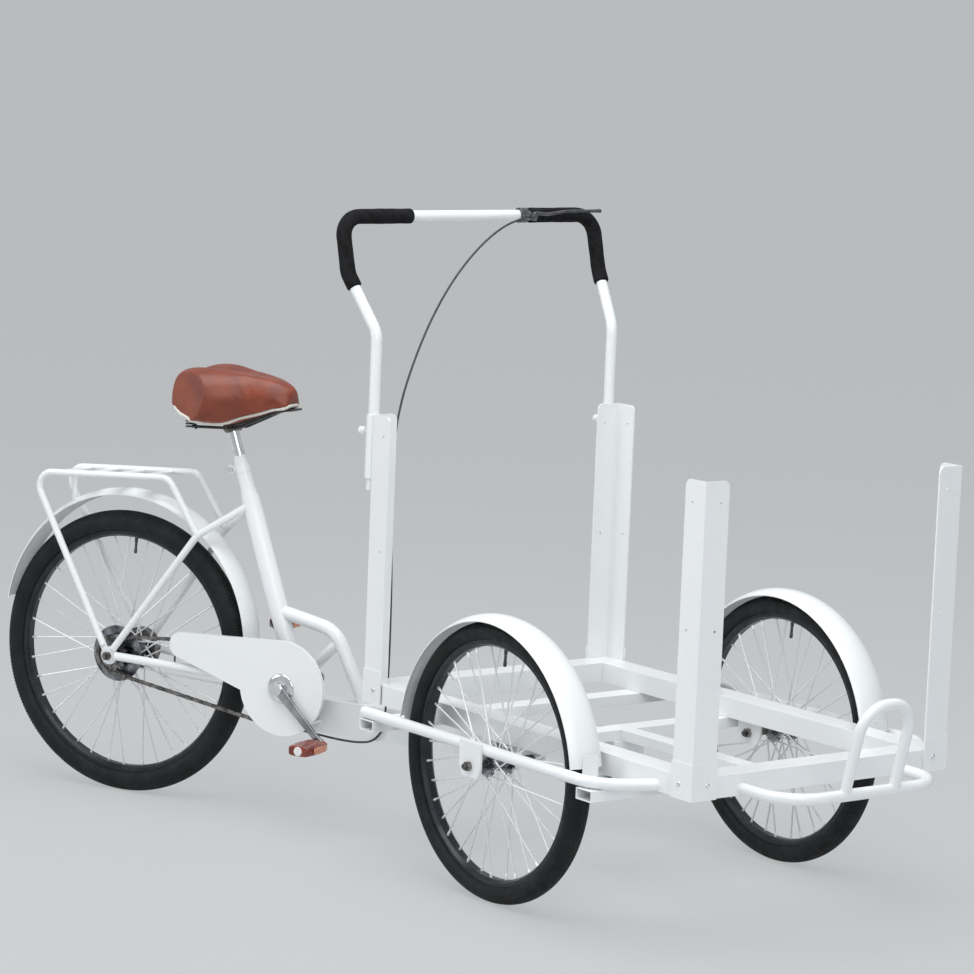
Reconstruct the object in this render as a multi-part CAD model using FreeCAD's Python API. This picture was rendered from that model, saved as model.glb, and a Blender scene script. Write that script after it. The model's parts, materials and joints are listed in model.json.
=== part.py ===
import FreeCAD, Part
import math
import os
from FreeCAD import Vector

os.makedirs("parts", exist_ok=True)

# A front-loading cargo tricycle: a square load platform between two front wheels,
# hinged on a kingpin ahead of an upright rider's frame with one driven rear wheel.
# Millimetres, X forward, Y left, Z up, the ground at zero.
# The platform is built in its own frame, zero under the front axle line.
# The rider's frame is built straight, zero under the kingpin, then turned to the parked steering.

# Fits shared by many pieces
overrun = 4.0
running_clearance = 0.05
seat_clearance = 0.3
weld_reach = 12.0
hexagon_sides = 6

# Wheels
front_tyre_radius = 300.0
rear_tyre_radius = 334.0
front_bead_radius = 253.5
rear_bead_radius = 279.5
tyre_width = 55.0
wheel_track = 800.0
rim_width = 31.0
rim_wall = 2.0
rim_flange_height = 7.0
rim_well_depth = 6.0
rim_well_width = 17.0
spoke_count = 36
spoke_crosses = 3
spoke_radius = 1.5
spoke_rim_offset = 3.5
front_hub_flange_radius = 28.0
rear_hub_flange_radius = 33.0
front_hub_flange_spacing = 52.0
rear_hub_flange_spacing = 62.0
hub_flange_thickness = 3.0
front_hub_shell_radius = 17.0
rear_hub_shell_radius = 22.0
front_axle_radius = 6.0
rear_axle_radius = 5.0
axle_nut_radius = 10.5
axle_nut_thickness = 10.0
axle_thread_length = 6.0
spacer_radius = 9.0
front_hub_end_reach = 8.0
hub_barrel_share = 0.8
tyre_shoulder_height_share = 0.86
tyre_shoulder_width_share = 0.36
tyre_wall_height_share = 0.42

# Load platform
platform_length = 1142.0
platform_front_reach = 573.0
platform_width = 697.0
rail_top = 372.5
rail_bottom = 326.0
rail_width = 62.0
rail_wall = 3.0
post_leg = 62.0
post_wall = 4.0
post_top = 971.0
post_corner_radius = 14.0
sleeve_top = 401.0
sleeve_wall = 2.0
sleeve_leg = 66.0
post_hole_radius = 3.2
post_hole_edge = 21.0
post_hole_first = 668.0
post_hole_second = 926.0
cross_tube_width = 50.0
cross_tube_height = 24.0
cross_tube_wall = 2.5
cross_tube_length = 936.0
rear_cross_tube_front = -362.0
middle_cross_tube_front = -54.0
front_cross_tube_front = 403.0
centre_bar_width = 40.0
outer_rail_radius = 12.5
outer_rail_line = 455.0
outer_rail_front = 400.0
outer_rail_landing = 470.0
outer_rail_bend = 90.0

# Axle hangers of the front wheels
hanger_wall = 6.0
hanger_width = 74.0
hanger_foot_width = 52.0
hanger_drop = 24.0
inner_hanger_line = 303.0

# Front mudguards
mudguard_gap = 14.0
mudguard_wall = 2.0
mudguard_width = 82.0
mudguard_crown = 13.0
mudguard_end_angle = 9.0
mudguard_foot_length = 74.0
mudguard_foot_width = 40.0

# Bumper and its hoop
bumper_tube_radius = 12.5
bumper_height = 340.0
bumper_reach = 146.0
bumper_width = 426.0
bumper_bend = 90.0
hoop_tube_radius = 11.5
hoop_width = 134.0
hoop_height = 190.0
hoop_lean = 48.0
hoop_bend = 62.0

# Push handlebar
handlebar_tube_radius = 12.7
handlebar_line = 334.0
handlebar_foot = 800.0
handlebar_knee = 1150.0
handlebar_elbow = 1275.0
handlebar_setback = 88.0
handlebar_top = 1399.0
handlebar_top_setback = 120.0
handlebar_spread = 22.0
handlebar_bend = 60.0
corner_bend = 48.0
socket_wall = 4.0
socket_top = 968.0
socket_bottom = 826.0
knob_height = 928.0
knob_radius = 9.0
knob_length = 20.0
knob_stem_radius = 4.0
knob_stem_length = 10.0
grip_wall = 5.0
grip_inner_end = 163.0
grip_lower_end = 1243.0
lever_clamp_radius = 17.5
lever_clamp_width = 24.0
lever_clamp_gap = 2.0
lever_blade_length = 178.0
lever_blade_width = 14.0
lever_blade_thickness = 7.0
lever_body_reach = 30.0
lever_body_height = 20.0

# Kingpin and steering
kingpin_setback = 138.0
parked_steering = 25.3
kingpin_radius = 10.0
kingpin_head_radius = 17.0
kingpin_head_height = 12.0
bracket_wall = 6.0
bracket_width = 84.0
bracket_rear_reach = 44.0
bracket_web_gap = 6.0
bracket_side_gap = 8.0
thrust_washer_radius = 22.0
thrust_gap = 0.1

# Rider's frame
beam_top = 290.0
beam_bottom = 212.0
beam_width = 48.0
beam_nose = 72.0
crank_axis_setback = 787.0
crank_axis_height = 313.0
beam_tail = 34.0
crank_shell_radius = 23.0
crank_shell_width = 76.0
seat_tube_radius = 22.0
seat_tube_neck_radius = 17.5
seat_tube_neck_start = 725.0
seat_tube_neck_end = 752.0
seat_tube_top = 790.0
seat_tube_lean = 18.9
seat_tube_bore_depth = 130.0
top_tube_radius = 16.0
top_tube_start = 478.0
top_tube_knee = 448.0
top_tube_knee_setback = 690.0
top_tube_foot_setback = 603.0
top_tube_bend = 80.0
strut_radius = 12.5
rear_axle_setback = 1255.0
chain_line = 60.0
dropout_line = 78.0
dropout_wall = 6.0
dropout_radius = 21.0
stay_landing_share = 0.8
chain_stay_radius = 10.0
chain_stay_start = 24.0
chain_stay_knee_setback = 885.0
chain_stay_knee_line = 42.0
chain_stay_bend = 150.0
seat_stay_radius = 8.5
seat_stay_shoulder_setback = 1032.0
seat_stay_shoulder_height = 640.0
seat_stay_top = 716.0
seat_stay_bend = 60.0
stay_spread = 62.0

# Rear mudguard and rack
rear_mudguard_radius = 345.0
rear_mudguard_rise = 42.0
rear_mudguard_setback = 1247.0
rear_mudguard_width = 70.0
rear_mudguard_tail_angle = 9.0
rack_tube_radius = 8.0
rack_line = 65.0
rack_height = 745.0
rack_rise = 21.0
rack_tail_setback = 1493.0
rack_nose_setback = 1112.0
rack_bend = 34.0
rack_foot_gap = 0.3
rack_foot_start = 28.0
rack_foot_wall = 4.0
rack_eye_radius = 14.7
rack_slat_width = 26.0
rack_slat_thickness = 3.0
rack_slat_count = 4
rack_bridge_radius = 6.0
rack_bridge_start_share = 0.8

# Chain drive
chain_pitch = 12.7
chainring_teeth = 44
sprocket_teeth = 18
chain_width = 7.0
chain_height = 9.0
chain_gap = 0.4
tooth_depth = 4.0
tooth_root_share = 0.36
tooth_tip_share = 0.12
chainring_thickness = 2.4
chainring_inner_share = 0.8
chainring_arm_share = 0.84
chainring_arm_half = 7.6
chainring_arm_count = 5
guard_wall = 1.5
guard_depth = 9.0
guard_line = 71.0
guard_disc_radius = 110.0
guard_tail_length = 304.0
guard_tail_radius = 30.0
guard_tail_rise = 68.0
guard_stud_radius = 3.0
guard_stud_rise = 12.0
guard_stud_reach = 147.0
guard_web_share = 0.45
crank_length = 162.0
crank_angle = -43.7
crank_arm_line = 88.0
crank_arm_width = 24.0
crank_tip_half = 9.6
crank_arm_thickness = 12.0
crank_spindle_radius = 8.5
crank_cap_radius = 14.0
crank_cap_height = 6.0
crank_boss_radius = 17.0
pedal_length = 92.0
pedal_width = 64.0
pedal_height = 24.0
pedal_gap = 6.0
pedal_spindle_radius = 6.0
pedal_spindle_clearance = 0.05
pedal_spindle_share = 0.8
pedal_bore_share = 0.86
pedal_barrel_radius = 12.0
pedal_frame = 10.0
spoke_guard_radius = 66.0
spoke_guard_wall = 2.0
spoke_guard_line = 43.0
brake_drum_radius = 45.0
brake_drum_width = 20.0
brake_drum_line = 52.0
brake_band_gap = 1.0
brake_band_wall = 3.0
brake_arm_length = 96.0
brake_arm_width = 16.0
brake_plate_gap = 2.0
brake_plate_wall = 2.5

# Seat post, clamp and saddle
seat_post_radius = 13.6
seat_post_top = 884.0
seat_clamp_height = 22.0
seat_clamp_wall = 4.5
seat_clamp_lug = 25.0
seat_clamp_lug_root = 9.0
seat_clamp_lug_tip = 2.0
saddle_length = 290.0
saddle_width = 236.0
saddle_nose_setback = 816.0
saddle_bottom = 902.0
saddle_depth = 126.0
saddle_side_share = 0.88
saddle_shoulder_share = 0.78
# Each section: place from tail to nose, half width, crown, underside, as shares of the sizes above
saddle_section_shares = (
    (0.0, 0.6, 0.8, 0.3), (0.1, 0.9, 0.96, 0.16), (0.26, 1.0, 1.0, 0.04), (0.48, 0.7, 0.98, 0.0),
    (0.7, 0.4, 0.93, 0.18), (0.88, 0.32, 0.86, 0.33), (1.0, 0.2, 0.72, 0.37),
)
saddle_base_thickness = 5.0
saddle_pan_half = 20.0
saddle_wing_half = 84.0
saddle_wing_sections = 3
saddle_spring_radius = 15.0
saddle_spring_spread = 62.0
saddle_spring_setback = 1057.0
saddle_rail_radius = 3.5
saddle_rail_spread = 21.0
saddle_rail_nose_spread = 12.0
saddle_rail_nose_setback = 858.0
saddle_rail_nose_height = 938.0
saddle_rail_lead = 22.0
saddle_rail_bend = 30.0
saddle_clamp_radius = 12.0

# Brake cables, each a route of corner points
cable_radius = 2.5
cable_bend_share = 0.45
front_cable_route = (
    (-668, 136, 1399), (-672.5, 78, 1380.5), (-671, 24.5, 1348), (-666, -24, 1309), (-659, -69, 1266),
    (-651.5, -109.5, 1219), (-644.5, -145.5, 1168.5), (-636.5, -178, 1115.5), (-627, -208, 1061.5),
    (-615.5, -236, 1007), (-605, -257.5, 949), (-597, -270.5, 888.5), (-592, -276, 826.5),
    (-589, -277, 764), (-587, -275.5, 701.5), (-585.5, -273.5, 639), (-584, -272, 576.5),
    (-584.5, -271, 514), (-586.5, -269, 451.5), (-591.5, -266, 389), (-601, -261, 328),
)
rear_cable_route = (
    (-531, -39, 318), (-536, -32.5, 278.5), (-543, -29, 239), (-569.5, -28, 210), (-609, -26, 203),
    (-649, -21, 201.5), (-688.5, -13, 201.5), (-728, -4, 202.5), (-767.5, 4.5, 203.5),
    (-807.5, 11.5, 203.5), (-844, 19.5, 216.5), (-863.5, 30, 250), (-882.5, 41, 284),
    (-917, 49, 302), (-957, 53.5, 303.5), (-997, 57, 303.5), (-1037.5, 60, 303.5),
    (-1078, 62.5, 303.5), (-1118.5, 64, 302), (-1158.5, 65, 300),
)

# Places that follow from the sizes above
platform_rear = platform_front_reach - platform_length
post_face_front = platform_front_reach - post_wall
post_face_rear = platform_rear + post_wall
post_face_side = platform_width / 2 - post_wall
socket_centre = platform_rear - sleeve_wall - handlebar_tube_radius - socket_wall
rack_foot_line = dropout_line + dropout_wall / 2 + rack_foot_gap
rear_hub_right_end = chain_line + chain_width / 2
rear_hub_left_end = brake_drum_line + brake_drum_width / 2
front_hub_end = front_hub_flange_spacing / 2 + front_hub_end_reach


def box(x_low, x_high, y_low, y_high, z_low, z_high):
    return Part.makeBox(x_high - x_low, y_high - y_low, z_high - z_low, Vector(x_low, y_low, z_low))


def rod(start, end, radius):
    return Part.makeCylinder(radius, (end - start).Length, start, end - start)


def disc(radius, centre_x, centre_z, y_low, y_high):
    return rod(Vector(centre_x, y_low, centre_z), Vector(centre_x, y_high, centre_z), radius)


def bent_path(points, bends):
    """A wire of straight runs joined by tangent arcs, with one radius for each corner."""
    edges = []
    here = points[0]
    for index, bend in enumerate(bends):
        corner = points[index + 1]
        into = (corner - points[index]).normalize()
        out = (points[index + 2] - corner).normalize()
        half_turn = into.getAngle(out) / 2
        setback = bend * math.tan(half_turn)
        first = corner - into * setback
        last = corner + out * setback
        inward = (out - into).normalize()
        centre = corner + inward * (bend / math.cos(half_turn))
        edges.append(Part.LineSegment(here, first).toShape())
        edges.append(Part.Arc(first, centre - inward * bend, last).toShape())
        here = last
    edges.append(Part.LineSegment(here, points[-1]).toShape())
    return Part.Wire(edges)


def bent_rod(points, radius, bends):
    path = bent_path(points, bends)
    section = Part.Wire(Part.makeCircle(radius, points[0], points[1] - points[0]))
    return path.makePipeShell([section], True, False)


def turned(profile_points, centre=Vector(0, 0, 0)):
    """A closed outline of (radius, along) pairs turned about a line along Y."""
    points = [Vector(radius, along, 0) for radius, along in profile_points]
    outline = Part.makePolygon(points + [points[0]])
    solid = Part.Face(outline).revolve(Vector(0, 0, 0), Vector(0, 1, 0), 360)
    solid.translate(centre)
    return solid


def cord(name, route):
    """A cable of short straight runs joined by the widest arcs that fit between their middles."""
    points = [Vector(*place) for place in route]
    runs = [after - before for before, after in zip(points, points[1:])]
    bends = []
    for into, out in zip(runs, runs[1:]):
        room = cable_bend_share * min(into.Length, out.Length)
        bends.append(room / math.tan(into.getAngle(out) / 2))
    body = bent_rod(points, cable_radius, bends)
    area = math.pi * cable_radius ** 2
    print(name, "runs", [round(run.Length, 1) for run in runs], "radii", [round(bend) for bend in bends])
    print(name, "length", round(body.Volume / area, 1))
    return body


def bolt_hexagon(radius, start, direction, height):
    across = direction.cross(Vector(0, 0, 1))
    if across.Length < running_clearance:
        across = Vector(1, 0, 0)
    across = across.normalize()
    other = direction.cross(across).normalize()
    corners = []
    for index in range(hexagon_sides):
        angle = 2 * math.pi * index / hexagon_sides
        corners.append(start + across * (radius * math.cos(angle)) + other * (radius * math.sin(angle)))
    outline = Part.makePolygon(corners + [corners[0]])
    return Part.Face(outline).extrude(direction.normalize() * height)


# Wheels: tyre, rim, laced spokes and hub, each about a line along Y through zero

def make_tyre(tyre_radius, bead_radius):
    bead_half = rim_width / 2 - rim_wall
    rim_edge = bead_radius + rim_flange_height
    height = tyre_radius - rim_edge
    shoulder = Vector(rim_edge + height * tyre_shoulder_height_share,
                      tyre_width * tyre_shoulder_width_share, 0)
    wall = Vector(rim_edge + height * tyre_wall_height_share, tyre_width / 2, 0)
    crown = Vector(tyre_radius, 0, 0)

    def across(point):
        return Vector(point.x, -point.y, 0)

    bead = Vector(bead_radius, bead_half, 0)
    lip = Vector(rim_edge, bead_half, 0)
    edges = [
        Part.LineSegment(bead, lip).toShape(),
        Part.Arc(lip, wall, shoulder).toShape(),
        Part.Arc(shoulder, crown, across(shoulder)).toShape(),
        Part.Arc(across(shoulder), across(wall), across(lip)).toShape(),
        Part.LineSegment(across(lip), across(bead)).toShape(),
        Part.LineSegment(across(bead), bead).toShape(),
    ]
    return Part.Face(Part.Wire(edges)).revolve(Vector(0, 0, 0), Vector(0, 1, 0), 360)


def make_rim(bead_radius):
    edge = rim_width / 2
    inside = edge - rim_wall
    floor = bead_radius - rim_well_depth
    rim_edge = bead_radius + rim_flange_height
    half = [(rim_edge, edge), (bead_radius - rim_wall / 2, edge), (floor, rim_well_width / 2)]
    outline = [(bead_radius, inside), (rim_edge, inside)] + half
    outline += [(radius, -along) for radius, along in reversed(outline)]
    return turned(outline)


def make_hub(flange_radius, shell_radius, flange_spacing, end, axle_radius):
    """Shell with two spoke flanges and a bore that runs on the axle."""
    bore = axle_radius + running_clearance
    flange = flange_spacing / 2
    thick = hub_flange_thickness / 2
    barrel = shell_radius * hub_barrel_share
    outline = [
        (bore, -end), (barrel, -end), (barrel, -flange - thick),
        (flange_radius, -flange - thick), (flange_radius, -flange + thick), (shell_radius, -flange + thick),
        (shell_radius, flange - thick), (flange_radius, flange - thick), (flange_radius, flange + thick),
        (barrel, flange + thick), (barrel, end), (bore, end),
    ]
    return turned(outline)


def make_spokes(flange_radius, flange_spacing, bead_radius, hub, rim):
    """Crossed spokes: each flange has half of them, by turns inside and outside the flange."""
    spokes = []
    per_flange = spoke_count // 2
    spacing = 360.0 / per_flange
    lead = spoke_crosses * spacing
    hole_circle = flange_radius - hub_flange_thickness
    face = hub_flange_thickness / 2 + spoke_radius
    seat = bead_radius - rim_well_depth
    for side in (1, -1):
        for index in range(per_flange):
            turn = index * spacing + (spacing / 2 if side < 0 else 0)
            outward = 1 if index % 2 else -1
            hub_angle = math.radians(turn - outward * lead)
            rim_angle = math.radians(turn)
            hub_along = side * (flange_spacing / 2 + outward * face)
            start = Vector(hole_circle * math.cos(hub_angle), hub_along, hole_circle * math.sin(hub_angle))
            along = side * spoke_rim_offset
            end = Vector(seat * math.cos(rim_angle), along, seat * math.sin(rim_angle))
            reach = (end - start).normalize() * (spoke_radius * 2)
            spokes.append(rod(start, end + reach, spoke_radius).cut(hub).cut(rim))
    return spokes


def placed(shapes, x, y, z):
    moved = []
    for shape in shapes:
        copy = shape.copy()
        copy.translate(Vector(x, y, z))
        moved.append(copy)
    return moved


# Front wheels on their fixed axles

def front_wheel(name, line):
    hub = make_hub(front_hub_flange_radius, front_hub_shell_radius, front_hub_flange_spacing,
                   front_hub_end, front_axle_radius)
    rim = make_rim(front_bead_radius)
    tyre = make_tyre(front_tyre_radius, front_bead_radius)
    spokes = make_spokes(front_hub_flange_radius, front_hub_flange_spacing, front_bead_radius, hub, rim)
    place = (0, line, front_tyre_radius)
    return {
        name + "_tyre": placed([tyre], *place),
        name + "_rim": placed([rim], *place),
        name + "_hub": placed([hub], *place),
        name + "_spokes": placed(spokes, *place),
    }


def front_axle(side):
    """Bolt through both hangers with a spacer each side of the hub and a nut outside each hanger."""
    line = wheel_track / 2
    outer_face = outer_rail_line + outer_rail_radius + hanger_wall
    inner_face = inner_hanger_line - hanger_wall / 2
    height = front_tyre_radius

    def at(along):
        return Vector(0, side * along, height)

    outward = Vector(0, side, 0)
    axle = rod(at(inner_face - axle_nut_thickness - axle_thread_length),
               at(outer_face + axle_nut_thickness + axle_thread_length), front_axle_radius)
    inner_spacer = rod(at(inner_face + hanger_wall), at(line - front_hub_end - seat_clearance), spacer_radius)
    outer_spacer = rod(at(line + front_hub_end + seat_clearance), at(outer_face - hanger_wall), spacer_radius)
    outer_nut = bolt_hexagon(axle_nut_radius, at(outer_face), outward, axle_nut_thickness)
    inner_nut = bolt_hexagon(axle_nut_radius, at(inner_face), -outward, axle_nut_thickness)
    return axle.fuse([inner_spacer, outer_spacer, outer_nut, inner_nut]).removeSplitter()


def hanger(side, line, top):
    """Plate that narrows to a round foot about the axle bolt."""
    low = line - hanger_wall / 2
    high = line + hanger_wall / 2
    y_low, y_high = sorted((side * low, side * high))
    foot_bottom = front_tyre_radius - hanger_drop
    corners = [
        Vector(-hanger_width / 2, y_low, top), Vector(hanger_width / 2, y_low, top),
        Vector(hanger_width / 2, y_low, front_tyre_radius), Vector(hanger_foot_width / 2, y_low, foot_bottom),
        Vector(-hanger_foot_width / 2, y_low, foot_bottom),
        Vector(-hanger_width / 2, y_low, front_tyre_radius),
    ]
    plate = Part.Face(Part.makePolygon(corners + [corners[0]])).extrude(Vector(0, y_high - y_low, 0))
    bore = disc(front_axle_radius, 0, front_tyre_radius, y_low - overrun, y_high + overrun)
    return plate.cut(bore)


def axle_hangers(side):
    outer_line = outer_rail_line + outer_rail_radius + hanger_wall / 2
    outer_top = rail_bottom + 2 * outer_rail_radius
    return [hanger(side, inner_hanger_line, rail_bottom), hanger(side, outer_line, outer_top)]


# Platform: box rails between angle posts, on three open cross tubes

def end_rail(face, direction):
    """Box tube across the platform, open where the posts' legs cover its ends."""
    x_low, x_high = sorted((face, face - direction * rail_width))
    low, high = -post_face_side, post_face_side
    outer = box(x_low, x_high, low, high, rail_bottom, rail_top)
    inner = box(x_low + rail_wall, x_high - rail_wall, low - overrun, high + overrun,
                rail_bottom + rail_wall, rail_top - rail_wall)
    return outer.cut(inner)


def side_rail_blank(side, inset, reach):
    """Bar of one side rail, less an inset all round and with the same reach added at both ends."""
    y_low, y_high = sorted((side * (post_face_side - rail_width + inset), side * (post_face_side - inset)))
    rear = post_face_rear + rail_width - reach
    front = post_face_front - rail_width + reach
    return box(rear, front, y_low, y_high, rail_bottom + inset, rail_top - inset)


def side_rail(side):
    return side_rail_blank(side, 0, 0).cut(side_rail_blank(side, rail_wall, overrun))


def corner_post(end, side):
    """Upright angle whose legs wrap the corner, with rounded upper ends and a thicker sleeve below."""
    corner_x = platform_front_reach if end > 0 else -platform_rear
    corner_y = platform_width / 2
    turning = post_top - post_corner_radius

    def angle(leg, outer, wall, z_low, z_high):
        across = box(corner_x + outer - leg, corner_x + outer, corner_y + outer - wall, corner_y + outer,
                     z_low, z_high)
        along = box(corner_x + outer - wall, corner_x + outer, corner_y + outer - leg, corner_y + outer,
                    z_low, z_high)
        return across.fuse(along)

    post = angle(post_leg, 0, post_wall, rail_bottom, post_top)
    sleeve = angle(sleeve_leg, sleeve_wall, sleeve_wall, rail_bottom, sleeve_top)
    post = post.fuse(sleeve).removeSplitter()
    holes = []
    for height in (post_hole_first, post_hole_second):
        edge = corner_x - post_leg + post_hole_edge
        start = Vector(edge, corner_y - post_wall - overrun, height)
        holes.append(rod(start, start + Vector(0, post_wall + 2 * overrun, 0), post_hole_radius))
        edge = corner_y - post_leg + post_hole_edge
        start = Vector(corner_x - post_wall - overrun, edge, height)
        holes.append(rod(start, start + Vector(post_wall + 2 * overrun, 0, 0), post_hole_radius))
    edge = corner_x - post_leg
    corner = box(edge, edge + post_corner_radius, corner_y - post_wall, corner_y, turning, post_top)
    round_start = Vector(edge + post_corner_radius, corner_y - post_wall - overrun, turning)
    holes.append(corner.cut(rod(round_start, round_start + Vector(0, post_wall + 2 * overrun, 0),
                                post_corner_radius)))
    edge = corner_y - post_leg
    corner = box(corner_x - post_wall, corner_x, edge, edge + post_corner_radius, turning, post_top)
    round_start = Vector(corner_x - post_wall - overrun, edge + post_corner_radius, turning)
    holes.append(corner.cut(rod(round_start, round_start + Vector(post_wall + 2 * overrun, 0, 0),
                                post_corner_radius)))
    post = post.cut(holes)
    if end < 0:
        post = post.mirror(Vector(0, 0, 0), Vector(1, 0, 0))
    if side < 0:
        post = post.mirror(Vector(0, 0, 0), Vector(0, 1, 0))
    return post


def cross_tube(front_edge, length):
    low = rail_bottom - cross_tube_height
    half = length / 2
    outer = box(front_edge - cross_tube_width, front_edge, -half, half, low, rail_bottom)
    inner = box(front_edge - cross_tube_width + cross_tube_wall, front_edge - cross_tube_wall,
                -half - overrun, half + overrun, low + cross_tube_wall, rail_bottom - cross_tube_wall)
    return outer.cut(inner)


def centre_bar():
    low = rail_bottom - cross_tube_height
    rear = middle_cross_tube_front
    front = front_cross_tube_front - cross_tube_width
    half = centre_bar_width / 2
    outer = box(rear, front, -half, half, low, rail_bottom)
    inner = box(rear - overrun, front + overrun, -half + cross_tube_wall, half - cross_tube_wall,
                low + cross_tube_wall, rail_bottom - cross_tube_wall)
    return outer.cut(inner)


def outer_rail(side):
    """Round tube outside each front wheel that bends in to the platform near its front corner."""
    height = rail_bottom + outer_rail_radius
    rear = rear_cross_tube_front - cross_tube_width
    points = [
        Vector(rear, side * outer_rail_line, height),
        Vector(outer_rail_front, side * outer_rail_line, height),
        Vector(outer_rail_landing, side * (post_face_side - rail_width / 2), height),
    ]
    return bent_rod(points, outer_rail_radius, [outer_rail_bend]).cut(side_rail_blank(side, 0, 0))


def front_mudguard(side):
    """Crowned strip about the wheel, each end on a bent foot on its cross tube."""
    radius = front_tyre_radius + mudguard_gap
    arch = crowned_arch(radius, mudguard_width, mudguard_end_angle, 180 - mudguard_end_angle)
    arch.translate(Vector(0, side * wheel_track / 2, front_tyre_radius))
    end_height = front_tyre_radius + radius * math.sin(math.radians(mudguard_end_angle))
    line = radius * math.cos(math.radians(mudguard_end_angle)) + mudguard_wall
    low = side * wheel_track / 2 - mudguard_foot_width / 2
    high = side * wheel_track / 2 + mudguard_foot_width / 2
    pieces = []
    for end in (1, -1):
        rise_low, rise_high = sorted((end * line, end * (line + mudguard_wall)))
        foot_low, foot_high = sorted((end * line, end * (line + mudguard_foot_length)))
        strap_top = end_height + 2 * mudguard_gap
        pieces.append(box(rise_low, rise_high, low, high, rail_bottom, strap_top))
        pieces.append(box(foot_low, foot_high, low, high, rail_bottom, rail_bottom + mudguard_wall))
    return arch.fuse(pieces).removeSplitter()


def crowned_arch(radius, width, start_angle, end_angle):
    """A strip of constant wall whose section is an arc, swept about a line along Y."""
    half = width / 2
    inner = Part.Arc(Vector(radius - mudguard_crown, -half, 0), Vector(radius, 0, 0),
                     Vector(radius - mudguard_crown, half, 0)).toShape()
    outer_edge = radius - mudguard_crown + mudguard_wall
    outer = Part.Arc(Vector(outer_edge, half, 0), Vector(radius + mudguard_wall, 0, 0),
                     Vector(outer_edge, -half, 0)).toShape()
    joins = [
        Part.LineSegment(Vector(radius - mudguard_crown, half, 0), Vector(outer_edge, half, 0)).toShape(),
        Part.LineSegment(Vector(outer_edge, -half, 0), Vector(radius - mudguard_crown, -half, 0)).toShape(),
    ]
    section = Part.Face(Part.Wire([inner, joins[0], outer, joins[1]]))
    section.rotate(Vector(0, 0, 0), Vector(0, 1, 0), -start_angle)
    return section.revolve(Vector(0, 0, 0), Vector(0, 1, 0), start_angle - end_angle)


def front_bumper():
    """U of round tube whose two ends meet the front rail."""
    half = bumper_width / 2
    points = [
        Vector(post_face_front, -half, bumper_height),
        Vector(post_face_front + bumper_reach, -half, bumper_height),
        Vector(post_face_front + bumper_reach, half, bumper_height),
        Vector(post_face_front, half, bumper_height),
    ]
    return bent_rod(points, bumper_tube_radius, [bumper_bend, bumper_bend])


def bumper_hoop(bumper):
    """Arch of round tube that stands on the bumper's front run and leans forward."""
    foot = post_face_front + bumper_reach
    top = foot + hoop_lean
    half = hoop_width / 2
    points = [
        Vector(foot, -half, bumper_height), Vector(top, -half, bumper_height + hoop_height),
        Vector(top, half, bumper_height + hoop_height), Vector(foot, half, bumper_height),
    ]
    return bent_rod(points, hoop_tube_radius, [hoop_bend, hoop_bend]).cut(bumper)


# Push handlebar with sockets on the two rear posts

def handlebar_half(side):
    """Corner points of one half, from the foot in the socket to the corner of the top bar."""
    x = socket_centre
    wide = handlebar_line + handlebar_spread
    return [
        Vector(x, side * handlebar_line, handlebar_foot),
        Vector(x, side * handlebar_line, handlebar_knee),
        Vector(x - handlebar_setback, side * wide, handlebar_elbow),
        Vector(x - handlebar_top_setback, side * wide, handlebar_top),
    ]


def handlebar():
    points = handlebar_half(-1) + list(reversed(handlebar_half(1)))
    bends = [handlebar_bend, handlebar_bend, corner_bend, corner_bend, handlebar_bend, handlebar_bend]
    return bent_rod(points, handlebar_tube_radius, bends)


def handlebar_socket(side):
    """Tube welded behind a rear post, with a thumbscrew that holds the handlebar's leg."""
    y = side * handlebar_line
    radius = handlebar_tube_radius + socket_wall
    tube = rod(Vector(socket_centre, y, socket_bottom), Vector(socket_centre, y, socket_top), radius)
    pad = box(socket_centre, platform_rear, y - radius / 2, y + radius / 2, socket_bottom, socket_top)
    start = Vector(socket_centre, y, knob_height)
    stem_end = start - Vector(radius + knob_stem_length, 0, 0)
    stem = rod(start, stem_end, knob_stem_radius)
    knob = rod(stem_end, stem_end - Vector(knob_length, 0, 0), knob_radius)
    bore = rod(Vector(socket_centre, y, socket_bottom - overrun),
               Vector(socket_centre, y, socket_top + overrun),
               handlebar_tube_radius + running_clearance)
    return tube.fuse([pad, stem, knob]).cut(bore).removeSplitter()


# Kingpin bracket of the platform: two plates and a web that hold the rider's beam between them

def kingpin_bracket():
    top = rail_bottom - cross_tube_height
    low = beam_bottom - bracket_side_gap - bracket_wall
    rear = -kingpin_setback - bracket_rear_reach
    turning_reach = math.hypot(beam_nose, beam_width / 2) + bracket_web_gap
    web_rear = -kingpin_setback + turning_reach
    half = bracket_width / 2
    upper = box(rear, web_rear + bracket_wall, -half, half, top - bracket_wall, top)
    lower = box(rear, web_rear + bracket_wall, -half, half, low, low + bracket_wall)
    web = box(web_rear, web_rear + bracket_wall, -half, half, low, top)
    body = upper.fuse([lower, web]).removeSplitter()
    hole = rod(Vector(-kingpin_setback, 0, low - overrun), Vector(-kingpin_setback, 0, top + overrun),
               kingpin_radius)
    return body.cut(hole)


def kingpin():
    top = rail_bottom - cross_tube_height
    low = beam_bottom - bracket_side_gap - bracket_wall
    x = -kingpin_setback
    pin = rod(Vector(x, 0, low - kingpin_head_height), Vector(x, 0, top + kingpin_head_height),
              kingpin_radius)
    nut = bolt_hexagon(kingpin_head_radius, Vector(x, 0, top), Vector(0, 0, 1), kingpin_head_height)
    head = bolt_hexagon(kingpin_head_radius, Vector(x, 0, low), Vector(0, 0, -1), kingpin_head_height)
    return pin.fuse([nut, head]).removeSplitter()


# Rider's frame, straight in its own frame with zero under the kingpin

def crank_centre(along=0.0):
    return Vector(-crank_axis_setback, along, crank_axis_height)


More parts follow.
